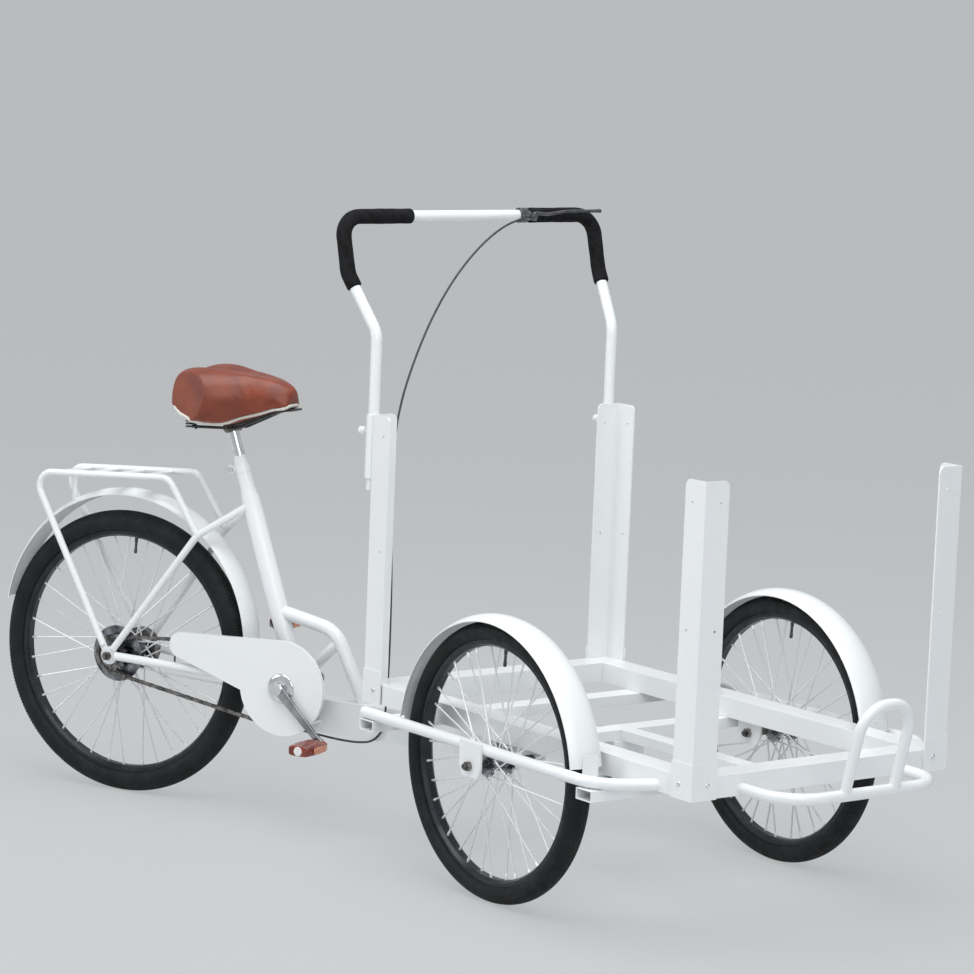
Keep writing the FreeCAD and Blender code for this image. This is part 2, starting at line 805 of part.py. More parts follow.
def seat_tube_point(height):
    """Point of the seat tube's centre line at a height."""
    rise = height - crank_axis_height
    return Vector(-crank_axis_setback - rise * math.tan(math.radians(seat_tube_lean)), 0, height)


def crank_shell_blank(radius):
    return disc(radius, -crank_axis_setback, crank_axis_height, -crank_shell_width / 2, crank_shell_width / 2)


def main_beam():
    """Box beam from the kingpin back to the crank shell, bored for the kingpin bushing."""
    rear = -crank_axis_setback - beam_tail
    half = beam_width / 2
    body = box(rear, beam_nose, -half, half, beam_bottom, beam_top)
    bore = rod(Vector(0, 0, beam_bottom - overrun), Vector(0, 0, beam_top + overrun),
               kingpin_radius + running_clearance)
    return body.cut(bore).cut(crank_shell_blank(crank_shell_radius))


def thrust_washers():
    """Flat rings that carry the beam between the bracket's plates."""
    bore = kingpin_radius + running_clearance
    upper_top = rail_bottom - cross_tube_height - bracket_wall - thrust_gap
    lower_bottom = beam_bottom - bracket_side_gap + thrust_gap
    rings = []
    for low, high in ((beam_top, upper_top), (lower_bottom, beam_bottom)):
        ring = rod(Vector(0, 0, low), Vector(0, 0, high), thrust_washer_radius)
        hole = rod(Vector(0, 0, low - overrun), Vector(0, 0, high + overrun), bore)
        rings.append(ring.cut(hole))
    return rings


def seat_tube_blank():
    """Leaning tube with a necked top and the crank shell at its foot, before it is bored."""
    foot = crank_centre()

    def along(height):
        return (seat_tube_point(height) - foot).Length

    outline = [
        (0, 0), (seat_tube_radius, 0), (seat_tube_radius, along(seat_tube_neck_start)),
        (seat_tube_neck_radius, along(seat_tube_neck_end)), (seat_tube_neck_radius, along(seat_tube_top)),
        (0, along(seat_tube_top)),
    ]
    points = [Vector(radius, 0, height) for radius, height in outline]
    tube = Part.Face(Part.makePolygon(points + [points[0]])).revolve(Vector(0, 0, 0), Vector(0, 0, 1), 360)
    tube.rotate(Vector(0, 0, 0), Vector(0, 1, 0), -seat_tube_lean)
    tube.translate(foot)
    return tube.fuse(crank_shell_blank(crank_shell_radius))


def seat_tube(blank):
    """The tube bored for the seat post above and for the crank spindle below."""
    foot = crank_centre()
    top = seat_tube_point(seat_tube_top)
    direction = (top - foot).normalize()
    spindle_bore = disc(crank_spindle_radius + running_clearance, foot.x, foot.z,
                        -crank_shell_width, crank_shell_width)
    post_bore = rod(top - direction * seat_tube_bore_depth, top + direction * overrun,
                    seat_post_radius + running_clearance)
    return blank.cut([spindle_bore, post_bore])


def top_tube(seat, beam):
    """Low tube that bends down from the seat tube to the beam, with a strut from the crank shell."""
    start = seat_tube_point(top_tube_start)
    knee = Vector(-top_tube_knee_setback, 0, top_tube_knee)
    foot = Vector(-top_tube_foot_setback, 0, beam_top - weld_reach)
    tube = bent_rod([start, knee, foot], top_tube_radius, [top_tube_bend])
    strut_top = Vector(-top_tube_knee_setback, 0, top_tube_knee - 2 * top_tube_radius)
    reach = (strut_top - crank_centre()).normalize() * weld_reach
    strut = rod(crank_centre(), strut_top + reach, strut_radius)
    return tube.fuse(strut).cut([seat, beam]).removeSplitter()


def dropout(side):
    low = dropout_line - dropout_wall / 2
    y_low, y_high = sorted((side * low, side * (low + dropout_wall)))
    plate = disc(dropout_radius, -rear_axle_setback, rear_tyre_radius, y_low, y_high)
    return plate, y_low, y_high


def rear_stays(side, seat, beam):
    """Chain stay and dropout of one side as one welded solid."""
    plate, y_low, y_high = dropout(side)
    axle = Vector(-rear_axle_setback, 0, rear_tyre_radius)
    start = crank_centre(side * chain_stay_start)
    end = axle + Vector(dropout_radius * stay_landing_share, side * dropout_line, 0)
    share = (chain_stay_knee_setback - crank_axis_setback) / (rear_axle_setback - crank_axis_setback)
    knee_height = crank_axis_height + (rear_tyre_radius - crank_axis_height) * share
    knee = Vector(-chain_stay_knee_setback, side * chain_stay_knee_line, knee_height)
    stay = bent_rod([start, knee, end], chain_stay_radius, [chain_stay_bend])
    bore = disc(rear_axle_radius, axle.x, axle.z, y_low - overrun, y_high + overrun)
    return stay.fuse(plate).cut([bore, seat, beam]).removeSplitter()


def seat_stay(side, seat, lower):
    """Stay that rises from the dropout and turns in to the seat tube."""
    axle = Vector(-rear_axle_setback, 0, rear_tyre_radius)
    points = [
        axle + Vector(dropout_radius / 2, side * dropout_line, dropout_radius * stay_landing_share),
        Vector(-seat_stay_shoulder_setback, side * stay_spread, seat_stay_shoulder_height),
        seat_tube_point(seat_stay_top) + Vector(0, side * seat_tube_radius / 2, 0),
    ]
    return bent_rod(points, seat_stay_radius, [seat_stay_bend]).cut([seat, lower])


def rear_axle():
    """Axle with a nut outside each dropout and a spacer between each dropout and the hub."""
    centre = Vector(-rear_axle_setback, 0, rear_tyre_radius)
    face = dropout_line + dropout_wall / 2 + rack_foot_gap + rack_foot_wall
    end = face + axle_nut_thickness + axle_thread_length
    axle = rod(centre - Vector(0, end, 0), centre + Vector(0, end, 0), rear_axle_radius)
    pieces = []
    for side, hub_end in ((-1, rear_hub_right_end), (1, rear_hub_left_end)):
        outward = Vector(0, side, 0)
        pieces.append(bolt_hexagon(axle_nut_radius, centre + outward * face, outward, axle_nut_thickness))
        inner_face = dropout_line - dropout_wall / 2
        pieces.append(rod(centre + outward * (hub_end + seat_clearance), centre + outward * inner_face,
                          spacer_radius))
    return axle.fuse(pieces).removeSplitter()


# Rear wheel with its sprocket, spoke guard and brake drum

def gear_outline(teeth):
    """A closed toothed outline about zero for a roller chain, and its pitch radius."""
    pitch_radius = chain_pitch / (2 * math.sin(math.pi / teeth))
    root = pitch_radius - tooth_depth
    tip = pitch_radius + tooth_depth / 2
    points = []
    for index in range(teeth):
        middle = 2 * math.pi * index / teeth
        step = 2 * math.pi / teeth
        for share, radius in ((-tooth_root_share, root), (-tooth_tip_share, tip),
                              (tooth_tip_share, tip), (tooth_root_share, root)):
            angle = middle + share * step
            points.append(Vector(radius * math.cos(angle), 0, radius * math.sin(angle)))
    return Part.makePolygon(points + [points[0]]), pitch_radius


def sprocket():
    outline = gear_outline(sprocket_teeth)[0]
    thick = chainring_thickness
    face = Part.Face(outline)
    face.translate(Vector(0, -chain_line - thick / 2, 0))
    wheel = face.extrude(Vector(0, thick, 0))
    bore = disc(rear_hub_shell_radius, 0, 0, -chain_line - thick, -chain_line + thick)
    guard = disc(spoke_guard_radius, 0, 0, -spoke_guard_line - spoke_guard_wall / 2,
                 -spoke_guard_line + spoke_guard_wall / 2)
    guard_bore = disc(rear_hub_shell_radius, 0, 0, -spoke_guard_line - spoke_guard_wall,
                      -spoke_guard_line + spoke_guard_wall)
    return wheel.cut(bore), guard.cut(guard_bore)


def rear_hub():
    flange = rear_hub_flange_spacing / 2
    thick = hub_flange_thickness / 2
    bore = rear_axle_radius + running_clearance
    shell = rear_hub_shell_radius
    outline = [
        (bore, -rear_hub_right_end), (shell, -rear_hub_right_end), (shell, -flange - thick),
        (rear_hub_flange_radius, -flange - thick), (rear_hub_flange_radius, -flange + thick),
        (shell, -flange + thick), (shell, flange - thick), (rear_hub_flange_radius, flange - thick),
        (rear_hub_flange_radius, flange + thick), (shell, flange + thick), (shell, rear_hub_left_end),
        (bore, rear_hub_left_end),
    ]
    return turned(outline)


def brake_drum():
    low = brake_drum_line - brake_drum_width / 2
    outline = [
        (rear_hub_shell_radius, low), (brake_drum_radius, low), (brake_drum_radius, low + brake_drum_width),
        (rear_hub_shell_radius, low + brake_drum_width),
    ]
    return turned(outline)


def rear_wheel_nodes():
    place = (-rear_axle_setback, 0, rear_tyre_radius)
    hub = rear_hub()
    rim = make_rim(rear_bead_radius)
    spokes = make_spokes(rear_hub_flange_radius, rear_hub_flange_spacing, rear_bead_radius, hub, rim)
    wheel, guard = sprocket()
    return {
        "rear_tyre": placed([make_tyre(rear_tyre_radius, rear_bead_radius)], *place),
        "rear_rim": placed([rim], *place),
        "rear_hub": placed([hub], *place),
        "rear_spokes": placed(spokes, *place),
        "rear_sprocket": placed([wheel], *place),
        "spoke_guard": placed([guard], *place),
        "brake_drum": placed([brake_drum()], *place),
    }


def brake_band(stay):
    """Fixed band round the drum, with a backing plate on the axle and an arm bolted to the chain stay."""
    centre_x, centre_z = -rear_axle_setback, rear_tyre_radius
    inner = brake_drum_radius + brake_band_gap
    drum_end = brake_drum_line + brake_drum_width / 2
    low = brake_drum_line - brake_drum_width / 2 + brake_band_gap
    plate_low = drum_end + brake_plate_gap
    plate_high = plate_low + brake_plate_wall
    ring = disc(inner + brake_band_wall, centre_x, centre_z, low, plate_high)
    ring = ring.cut(disc(inner, centre_x, centre_z, low - overrun, plate_low))
    arm_top = centre_z - chain_stay_radius - brake_arm_width
    arm_end = centre_x + brake_arm_length
    arm = box(centre_x, arm_end, plate_low, plate_high, arm_top - brake_arm_width, arm_top)
    share = brake_arm_length / (rear_axle_setback - chain_stay_knee_setback)
    bolt_y = dropout_line - (dropout_line - chain_stay_knee_line) * share
    bolt_x = arm_end - brake_arm_width / 2
    foot = box(bolt_x - brake_arm_width / 2, arm_end,
               min(plate_low, bolt_y - brake_arm_width / 2), plate_high,
               arm_top - brake_plate_wall, arm_top)
    bolt = rod(Vector(bolt_x, bolt_y, arm_top - brake_plate_wall), Vector(bolt_x, bolt_y, centre_z),
               brake_plate_wall)
    body = ring.fuse([arm, foot, bolt])
    bore = disc(spacer_radius, centre_x, centre_z, low - overrun, plate_high + overrun)
    return body.cut([bore, stay]).removeSplitter()


# Rear mudguard and rack

def rear_mudguard():
    centre_z = rear_tyre_radius + rear_mudguard_rise
    arch = crowned_arch(rear_mudguard_radius, rear_mudguard_width, 0, 180 - rear_mudguard_tail_angle)
    arch.translate(Vector(-rear_mudguard_setback, 0, centre_z))
    return arch


def rear_rack(stays):
    """Two bent rails from the axle up over the mudguard and down to the seat stays, joined by slats."""
    axle = Vector(-rear_axle_setback, 0, rear_tyre_radius)
    rails = []
    for side in (1, -1):
        y_low, y_high = sorted((side * rack_foot_line, side * (rack_foot_line + rack_foot_wall)))
        foot_y = (y_low + y_high) / 2
        y = side * rack_line
        tail = Vector(-rack_tail_setback, y, rack_height)
        lean = math.degrees(math.atan2(tail.x - axle.x, tail.z - axle.z))
        start = axle + Vector(rack_foot_start * math.sin(math.radians(lean)), foot_y,
                              rack_foot_start * math.cos(math.radians(lean)))
        points = [start, tail, Vector(-rack_nose_setback, y, rack_height + rack_rise),
                  Vector(-seat_stay_shoulder_setback, side * stay_spread, seat_stay_shoulder_height)]
        rails.append(bent_rod(points, rack_tube_radius, [rack_bend, rack_bend]))
        tab = box(axle.x - rack_tube_radius, axle.x + rack_tube_radius, y_low, y_high,
                  axle.z, axle.z + rack_foot_start + rack_tube_radius)
        tab.rotate(axle, Vector(0, 1, 0), lean)
        eye = disc(rack_eye_radius, axle.x, axle.z, y_low, y_high)
        bore = disc(rear_axle_radius, axle.x, axle.z, y_low - overrun, y_high + overrun)
        rails.append(eye.fuse(tab).cut(bore))
    span = rack_tail_setback - rack_nose_setback
    slats = []
    for index in range(rack_slat_count):
        share = (index + 1) / (rack_slat_count + 1)
        x = -rack_tail_setback + span * share
        z = rack_height + rack_rise * share
        slats.append(box(x - rack_slat_width / 2, x + rack_slat_width / 2, -rack_line, rack_line,
                         z - rack_slat_thickness / 2, z + rack_slat_thickness / 2))
    body = rails[0].fuse(rails[1:] + slats)
    return body.cut(stays).removeSplitter()


def mudguard_bridge(mudguard):
    """Short post between the rack and the mudguard."""
    x = -rack_tail_setback + (rack_tail_setback - rack_nose_setback) / (rack_slat_count + 1)
    z = rack_height + rack_rise / (rack_slat_count + 1) - rack_slat_thickness / 2
    start = rear_tyre_radius + rear_mudguard_rise + rear_mudguard_radius * rack_bridge_start_share
    post = rod(Vector(x, 0, start), Vector(x, 0, z), rack_bridge_radius)
    kept = post.cut(mudguard)
    return max(kept.Solids, key=lambda solid: solid.CenterOfMass.z)


# Chain drive

def chain():
    """The closed loop as one strip round both toothed wheels, just outside their teeth."""
    large = chain_pitch / (2 * math.sin(math.pi / chainring_teeth)) + tooth_depth / 2 + chain_gap
    small = chain_pitch / (2 * math.sin(math.pi / sprocket_teeth)) + tooth_depth / 2 + chain_gap
    front = Vector(-crank_axis_setback, 0, crank_axis_height)
    rear = Vector(-rear_axle_setback, 0, rear_tyre_radius)

    def loop(front_radius, rear_radius):
        line = rear - front
        distance = line.Length
        bearing = math.atan2(line.z, line.x)
        tangent = math.acos((front_radius - rear_radius) / distance)

        def at(centre, radius, angle):
            return centre + Vector(radius * math.cos(angle), 0, radius * math.sin(angle))

        upper_front = at(front, front_radius, bearing - tangent)
        lower_front = at(front, front_radius, bearing + tangent)
        upper_rear = at(rear, rear_radius, bearing - tangent)
        lower_rear = at(rear, rear_radius, bearing + tangent)
        edges = [
            Part.LineSegment(upper_front, upper_rear).toShape(),
            Part.Arc(upper_rear, at(rear, rear_radius, bearing), lower_rear).toShape(),
            Part.LineSegment(lower_rear, lower_front).toShape(),
            Part.Arc(lower_front, at(front, front_radius, bearing + math.pi), upper_front).toShape(),
        ]
        return Part.Face(Part.Wire(edges))

    band = loop(large + chain_height, small + chain_height).cut(loop(large, small))
    band.translate(Vector(0, -chain_line - chain_width / 2, 0))
    return band.extrude(Vector(0, chain_width, 0))


def chainring():
    """Toothed ring with five arms and a boss on the spindle."""
    outline, pitch_radius = gear_outline(chainring_teeth)
    thick = chainring_thickness
    face = Part.Face(outline)
    ring = face.extrude(Vector(0, thick, 0))
    ring = ring.cut(disc(pitch_radius * chainring_inner_share, 0, 0, -thick, 2 * thick))
    arms = []
    for index in range(chainring_arm_count):
        arm = box(0, pitch_radius * chainring_arm_share, 0, thick, -chainring_arm_half, chainring_arm_half)
        arm.rotate(Vector(0, 0, 0), Vector(0, 1, 0), 360 / chainring_arm_count * index)
        arms.append(arm)
    boss = disc(crank_boss_radius, 0, 0, 0, thick)
    body = ring.fuse(arms + [boss]).removeSplitter()
    body = body.cut(disc(crank_spindle_radius, 0, 0, -thick, 2 * thick))
    body.translate(Vector(-crank_axis_setback, -chain_line - thick / 2, crank_axis_height))
    return body


def crank_spindle():
    end = crank_arm_line + crank_arm_thickness / 2
    spindle = disc(crank_spindle_radius, -crank_axis_setback, crank_axis_height, -end, end)
    return spindle


def pedal_centre(side):
    """End of a crank arm: the right one points forward and down, the left one back and up."""
    angle = math.radians(crank_angle)
    direction = Vector(math.cos(angle), 0, math.sin(angle)) * (-side)
    return crank_centre() + direction * crank_length


def crank_arm(side):
    """Flat arm with round ends, bored for the spindle and for the pedal's axle."""
    y_low = side * crank_arm_line - crank_arm_thickness / 2
    y_high = side * crank_arm_line + crank_arm_thickness / 2
    foot = crank_centre()
    tip = pedal_centre(side)
    direction = (tip - foot).normalize()
    across = Vector(-direction.z, 0, direction.x)
    root_half = crank_arm_width / 2
    corners = [foot + across * root_half, tip + across * crank_tip_half, tip - across * crank_tip_half,
               foot - across * root_half]
    blade = Part.Face(Part.makePolygon(corners + [corners[0]]))
    blade.translate(Vector(0, y_low, 0))
    body = blade.extrude(Vector(0, y_high - y_low, 0))
    body = body.fuse([disc(crank_boss_radius, foot.x, foot.z, y_low, y_high),
                      disc(crank_tip_half, tip.x, tip.z, y_low, y_high)]).removeSplitter()
    body = body.cut([disc(crank_spindle_radius, foot.x, foot.z, y_low - overrun, y_high + overrun),
                     disc(pedal_spindle_radius, tip.x, tip.z, y_low - overrun, y_high + overrun)])
    cap_end = y_high + crank_cap_height if side > 0 else y_low - crank_cap_height
    cap_low, cap_high = sorted((y_high if side > 0 else y_low, cap_end))
    cap = disc(crank_cap_radius, foot.x, foot.z, cap_low, cap_high)
    return body, cap


def pedal_axle(side):
    """Fixed in the arm's end: the pedal turns on it."""
    tip = pedal_centre(side)
    inner = crank_arm_line - crank_arm_thickness / 2
    outer = crank_arm_line + crank_arm_thickness / 2 + pedal_gap + pedal_length * pedal_spindle_share
    low, high = sorted((side * inner, side * outer))
    return disc(pedal_spindle_radius, tip.x, tip.z, low, high)


def pedal(side):
    """Moulded block with two open windows either side of its barrel."""
    tip = pedal_centre(side)
    inner = crank_arm_line + crank_arm_thickness / 2 + pedal_gap
    low, high = sorted((side * inner, side * (inner + pedal_length)))
    half_width = pedal_width / 2
    half_height = pedal_height / 2
    body = box(tip.x - half_width, tip.x + half_width, low, high, tip.z - half_height, tip.z + half_height)
    for direction in (1, -1):
        x_low, x_high = sorted((tip.x + direction * pedal_barrel_radius,
                                tip.x + direction * (half_width - pedal_frame)))
        window = box(x_low, x_high, low + pedal_frame, high - pedal_frame,
                     tip.z - pedal_height, tip.z + pedal_height)
        body = body.cut(window)
    bore_low, bore_high = sorted((side * (inner - overrun), side * (inner + pedal_length * pedal_bore_share)))
    return body.cut(disc(pedal_spindle_radius + pedal_spindle_clearance, tip.x, tip.z, bore_low, bore_high))


def chain_guard(carriers):
    """Pressed cover: a disc about the crank and a tail over the chain, with a rolled edge inward."""
    centre = Vector(-crank_axis_setback, 0, crank_axis_height)
    radius = guard_disc_radius
    tail = centre + Vector(-guard_tail_length + guard_tail_radius, 0, guard_tail_rise)

    def outline(inset):
        big = disc(radius - inset, centre.x, centre.z, 0, guard_depth)
        small = disc(guard_tail_radius - inset, tail.x, tail.z, 0, guard_depth)
        line = tail - centre
        bearing = math.atan2(line.z, line.x)
        tangent = math.acos((radius - guard_tail_radius) / line.Length)

        def at(middle, size, angle):
            return middle + Vector(size * math.cos(angle), 0, size * math.sin(angle))

        corners = [
            at(centre, radius - inset, bearing - tangent),
            at(tail, guard_tail_radius - inset, bearing - tangent),
            at(tail, guard_tail_radius - inset, bearing + tangent),
            at(centre, radius * guard_web_share, bearing + math.pi / 2),
        ]
        web = Part.Face(Part.makePolygon(corners + [corners[0]])).extrude(Vector(0, guard_depth, 0))
        return big.fuse([small, web]).removeSplitter()

    shell = outline(0)
    hollow = outline(guard_wall)
    hollow.translate(Vector(0, guard_wall, 0))
    body = shell.cut(hollow)
    eye = disc(crank_boss_radius + pedal_gap / 2, centre.x, centre.z, -overrun, guard_depth + overrun)
    body = body.cut(eye)
    body.translate(Vector(0, -guard_line - guard_depth / 2, 0))
    face = -guard_line - guard_depth / 2 + guard_wall / 2
    stay_x = centre.x - guard_stud_reach
    stay_z = centre.z + guard_stud_rise
    stay_stud = rod(Vector(stay_x, 0, stay_z), Vector(stay_x, face, stay_z), guard_stud_radius)
    corner = (radius - guard_wall - guard_stud_radius) * math.cos(math.radians(45))
    beam_stud = rod(Vector(centre.x + corner, 0, centre.z - corner),
                    Vector(centre.x + corner, face, centre.z - corner), guard_stud_radius)
    kept = [max(stud.cut(carriers).Solids, key=lambda solid: -solid.CenterOfMass.y)
            for stud in (stay_stud, beam_stud)]
    return body.fuse(kept).removeSplitter()


# Seat post, clamp and saddle

def seat_post():
    top = seat_tube_point(seat_post_top)
    collar = seat_tube_point(seat_tube_top)
    direction = (collar - crank_centre()).normalize()
    return rod(collar - direction * (seat_tube_bore_depth - overrun), top, seat_post_radius)


def seat_clamp():
    """Collar on the seat tube's mouth with a tapered lug behind."""
    foot = seat_tube_point(seat_tube_top)
    direction = (foot - crank_centre()).normalize()
    top = foot + direction * seat_clamp_height
    outer = seat_post_radius + seat_clamp_wall
    collar = rod(foot, top, outer)
    middle = (foot + top) * 0.5
    lug = Part.makeCone(seat_clamp_lug_root, seat_clamp_lug_tip, seat_post_radius + seat_clamp_lug,
                        middle, Vector(-1, 0, 0))
    bore = rod(foot - direction * overrun, top + direction * overrun, seat_post_radius)
    return collar.fuse(lug).cut(bore).removeSplitter()


def saddle_underside(drop):
    """Line of the pad's underside from tail to nose, lowered by a drop."""
    return [Vector(-saddle_nose_setback - saddle_length * (1 - shares[0]), 0,
                   saddle_bottom + saddle_depth * shares[3] - drop)
            for shares in saddle_section_shares]


def saddle_layer(line, other, half):
    """Prism across the saddle between two lines that run from tail to nose."""
    corners = line + list(reversed(other))
    face = Part.Face(Part.makePolygon(corners + [corners[0]]))
    face.translate(Vector(0, -half, 0))
    return face.extrude(Vector(0, 2 * half, 0))


def saddle_cushion():
    """Plain pad lofted through arched sections from a broad tail to a narrow nose, with a bent underside."""
    sections = []
    line = saddle_underside(0)
    low = saddle_bottom - overrun
    for place, shares in zip(line, saddle_section_shares):
        half = saddle_width / 2 * shares[1]
        crown = saddle_bottom + saddle_depth * shares[2]
        shoulder = low + (crown - low) * saddle_shoulder_share
        right = Vector(place.x, -half, low)
        left = Vector(place.x, half, low)
        curve = Part.BSplineCurve()
        curve.interpolate([left, Vector(place.x, half * saddle_side_share, shoulder),
                           Vector(place.x, 0, crown),
                           Vector(place.x, -half * saddle_side_share, shoulder), right])
        sections.append(Part.Wire([curve.toShape(), Part.LineSegment(right, left).toShape()]))
    pad = Part.makeLoft(sections, True, False)
    line = [line[0] - Vector(overrun, 0, 0)] + line + [line[-1] + Vector(overrun, 0, 0)]
    floor = [Vector(line[0].x, 0, low - overrun), Vector(line[-1].x, 0, low - overrun)]
    return pad.cut(saddle_layer(line, floor, saddle_width))


def saddle_frame(post_solid):
    """Pan, two wire rails, the post's clamp and two coil springs as plain barrels."""
    top = saddle_underside(seat_clearance)
    bottom = saddle_underside(seat_clearance + saddle_base_thickness)
    pan = saddle_layer(top, bottom, saddle_pan_half)
    wing = saddle_layer(top[:saddle_wing_sections], bottom[:saddle_wing_sections], saddle_wing_half)
    post = seat_tube_point(seat_post_top)
    rail_z = post.z + 2 * saddle_rail_radius
    pieces = [wing]
    for side in (1, -1):
        nose = Vector(-saddle_rail_nose_setback, side * saddle_rail_nose_spread, saddle_rail_nose_height)
        spring = Vector(-saddle_spring_setback, side * saddle_spring_spread, rail_z)
        lead = Vector(post.x + saddle_rail_lead, side * saddle_rail_spread, rail_z)
        pieces.append(bent_rod([nose, lead, spring], saddle_rail_radius, [saddle_rail_bend]))
        pieces.append(rod(spring - Vector(0, 0, 2 * saddle_rail_radius), spring + Vector(0, 0, saddle_depth),
                          saddle_spring_radius))
    half = saddle_rail_spread + 2 * saddle_rail_radius
    pieces.append(rod(Vector(post.x, -half, rail_z), Vector(post.x, half, rail_z), saddle_clamp_radius))
    ceiling = [Vector(place.x, 0, saddle_bottom + 2 * saddle_depth) for place in (top[0], top[-1])]
    above = saddle_layer(ceiling, top, saddle_width)
    return pan.fuse(pieces).cut([post_solid, above])


# Grips and brake lever

def grip(side, bar):
    """Foam sleeve from below the elbow of the handlebar round its corner."""
    knee, elbow, corner = handlebar_half(side)[1:]
    share = (elbow.z - grip_lower_end) / (elbow.z - knee.z)
    lower = elbow + (knee - elbow) * share
    inner = Vector(corner.x, side * grip_inner_end, corner.z)
    sleeve = bent_rod([lower, elbow, corner, inner], handlebar_tube_radius + grip_wall,
                      [handlebar_bend, corner_bend])
    return sleeve.cut(bar)


def brake_lever(bar):
    """Clamp on the left of the top bar, with the lever's body ahead and a blade along the grip."""
    x = socket_centre - handlebar_top_setback
    inner = grip_inner_end - lever_clamp_gap - lever_clamp_width
    z = handlebar_top
    clamp = rod(Vector(x, inner, z), Vector(x, inner + lever_clamp_width, z), lever_clamp_radius)
    front = x + lever_clamp_radius + grip_wall
    body = box(x, front + lever_body_reach, inner, inner + lever_clamp_width,
               z - lever_body_height / 2, z + lever_body_height / 2)
    blade = box(front + lever_body_reach - lever_blade_width, front + lever_body_reach,
                inner, inner + lever_blade_length,
                z - lever_blade_thickness / 2, z + lever_blade_thickness / 2)
    return clamp.fuse([body, blade]).cut(bar).removeSplitter()


def platform_nodes():
    nodes = {}
    nodes["front_rail"] = [end_rail(post_face_front, 1)]
    nodes["rear_rail"] = [end_rail(post_face_rear, -1)]
    nodes["right_rail"] = [side_rail(-1)]
    nodes["left_rail"] = [side_rail(1)]
    ends = {"front": 1, "rear": -1}
    sides = {"right": -1, "left": 1}
    for end_name, end in ends.items():
        for side_name, side in sides.items():
            nodes[end_name + "_" + side_name + "_post"] = [corner_post(end, side)]
    nodes["cross_tubes"] = [
        cross_tube(rear_cross_tube_front, cross_tube_length),
        cross_tube(middle_cross_tube_front, 2 * post_face_side),
        cross_tube(front_cross_tube_front, cross_tube_length),
    ]
    nodes["centre_bar"] = [centre_bar()]
    nodes["kingpin_bracket"] = [kingpin_bracket()]
    nodes["kingpin"] = [kingpin()]
    nodes["outer_rails"] = [outer_rail(-1), outer_rail(1)]
    nodes["axle_hangers"] = axle_hangers(-1) + axle_hangers(1)
    nodes["front_axles"] = [front_axle(-1), front_axle(1)]
    for side_name, side in sides.items():
        nodes["front_" + side_name + "_mudguard"] = [front_mudguard(side)]
        nodes.update(front_wheel("front_" + side_name, side * wheel_track / 2))
    bumper = front_bumper()
    nodes["front_bumper"] = [bumper]
    nodes["bumper_hoop"] = [bumper_hoop(bumper)]
    bar = handlebar()
    nodes["handlebar"] = [bar]
    nodes["handlebar_sockets"] = [handlebar_socket(-1), handlebar_socket(1)]
    nodes["grips"] = [grip(-1, bar), grip(1, bar)]
    nodes["brake_lever"] = [brake_lever(bar)]
    nodes["brake_cable"] = [cord("brake_cable", front_cable_route)]
    return nodes


def rider_frame_nodes():
    nodes = {}
    seat = seat_tube_blank()
    beam = main_beam()
    nodes["main_beam"] = [beam.fuse(thrust_washers()).removeSplitter()]
    nodes["seat_tube"] = [seat_tube(seat)]
    nodes["top_tube"] = [top_tube(seat, beam)]
    lower = [rear_stays(-1, seat, beam), rear_stays(1, seat, beam)]
    nodes["chain_stays"] = lower
    upper = [seat_stay(-1, seat, lower[0]), seat_stay(1, seat, lower[1])]
    nodes["seat_stays"] = upper
    nodes["rear_axle"] = [rear_axle()]
    nodes["brake_band"] = [brake_band(lower[1])]
    mudguard = rear_mudguard()
    nodes["rear_mudguard"] = [mudguard]
    nodes["rear_rack"] = [rear_rack(upper + lower).fuse(mudguard_bridge(mudguard)).removeSplitter()]
    nodes["chain_guard"] = [chain_guard([lower[0], beam])]
    nodes["chain"] = [chain()]
    nodes["chainring"] = [chainring()]
    arms = []
    caps = []
    for side in (-1, 1):
        arm, cap = crank_arm(side)
        arms.append(arm.fuse(pedal_axle(side)).removeSplitter())
        caps.append(cap)
    nodes["crank_spindle"] = [crank_spindle().fuse(caps).removeSplitter()]
    nodes["crank_arms"] = arms
    nodes["right_pedal"] = [pedal(-1)]
    nodes["left_pedal"] = [pedal(1)]
    post = seat_post()
    nodes["seat_post"] = [post]
    nodes["seat_clamp"] = [seat_clamp()]
    nodes["saddle_cushion"] = [saddle_cushion()]
    nodes["saddle_frame"] = [saddle_frame(post)]
    nodes["rear_brake_cable"] = [cord("rear_brake_cable", rear_cable_route)]
    nodes.update(rear_wheel_nodes())
    return nodes


# Placing and writing

def main():
    """Builds every sub-part and writes one STEP file for each."""
    nodes = platform_nodes()
    rear = rider_frame_nodes()
    spin = Vector(0, 0, 1)
    for name, shapes in rear.items():
        turned_shapes = []
        for shape in shapes:
            copy = shape.copy()
            copy.rotate(Vector(0, 0, 0), spin, parked_steering)
            copy.translate(Vector(-kingpin_setback, 0, 0))
            turned_shapes.append(copy)
        nodes[name] = turned_shapes
    write_nodes(nodes)


def write_nodes(nodes):
    """Moves the whole so that zero lies on the ground under the middle of its box."""
    everything = Part.makeCompound([shape for shapes in nodes.values() for shape in shapes])
    bounds = everything.optimalBoundingBox(False, False)
    shift = Vector(-bounds.Center.x, -bounds.Center.y, -bounds.ZMin)
    for name, shapes in nodes.items():
        moved = placed(shapes, shift.x, shift.y, shift.z)
        whole = moved[0] if len(moved) == 1 else Part.makeCompound(moved)
        whole.exportStep("parts/" + name + ".step")
        print(name, len(shapes), round(whole.Volume), whole.isValid())
    print("shift", round(shift.x, 4), round(shift.y, 4), round(shift.z, 4))
    print("size", round(bounds.XLength, 2), round(bounds.YLength, 2), round(bounds.ZLength, 2))


main()
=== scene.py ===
import json
import math
from typing import NamedTuple

import bmesh
import bpy
import numpy as np
from bpy.props import FloatProperty, FloatVectorProperty, PointerProperty
from mathutils import Matrix, Vector
from mathutils.bvhtree import BVHTree

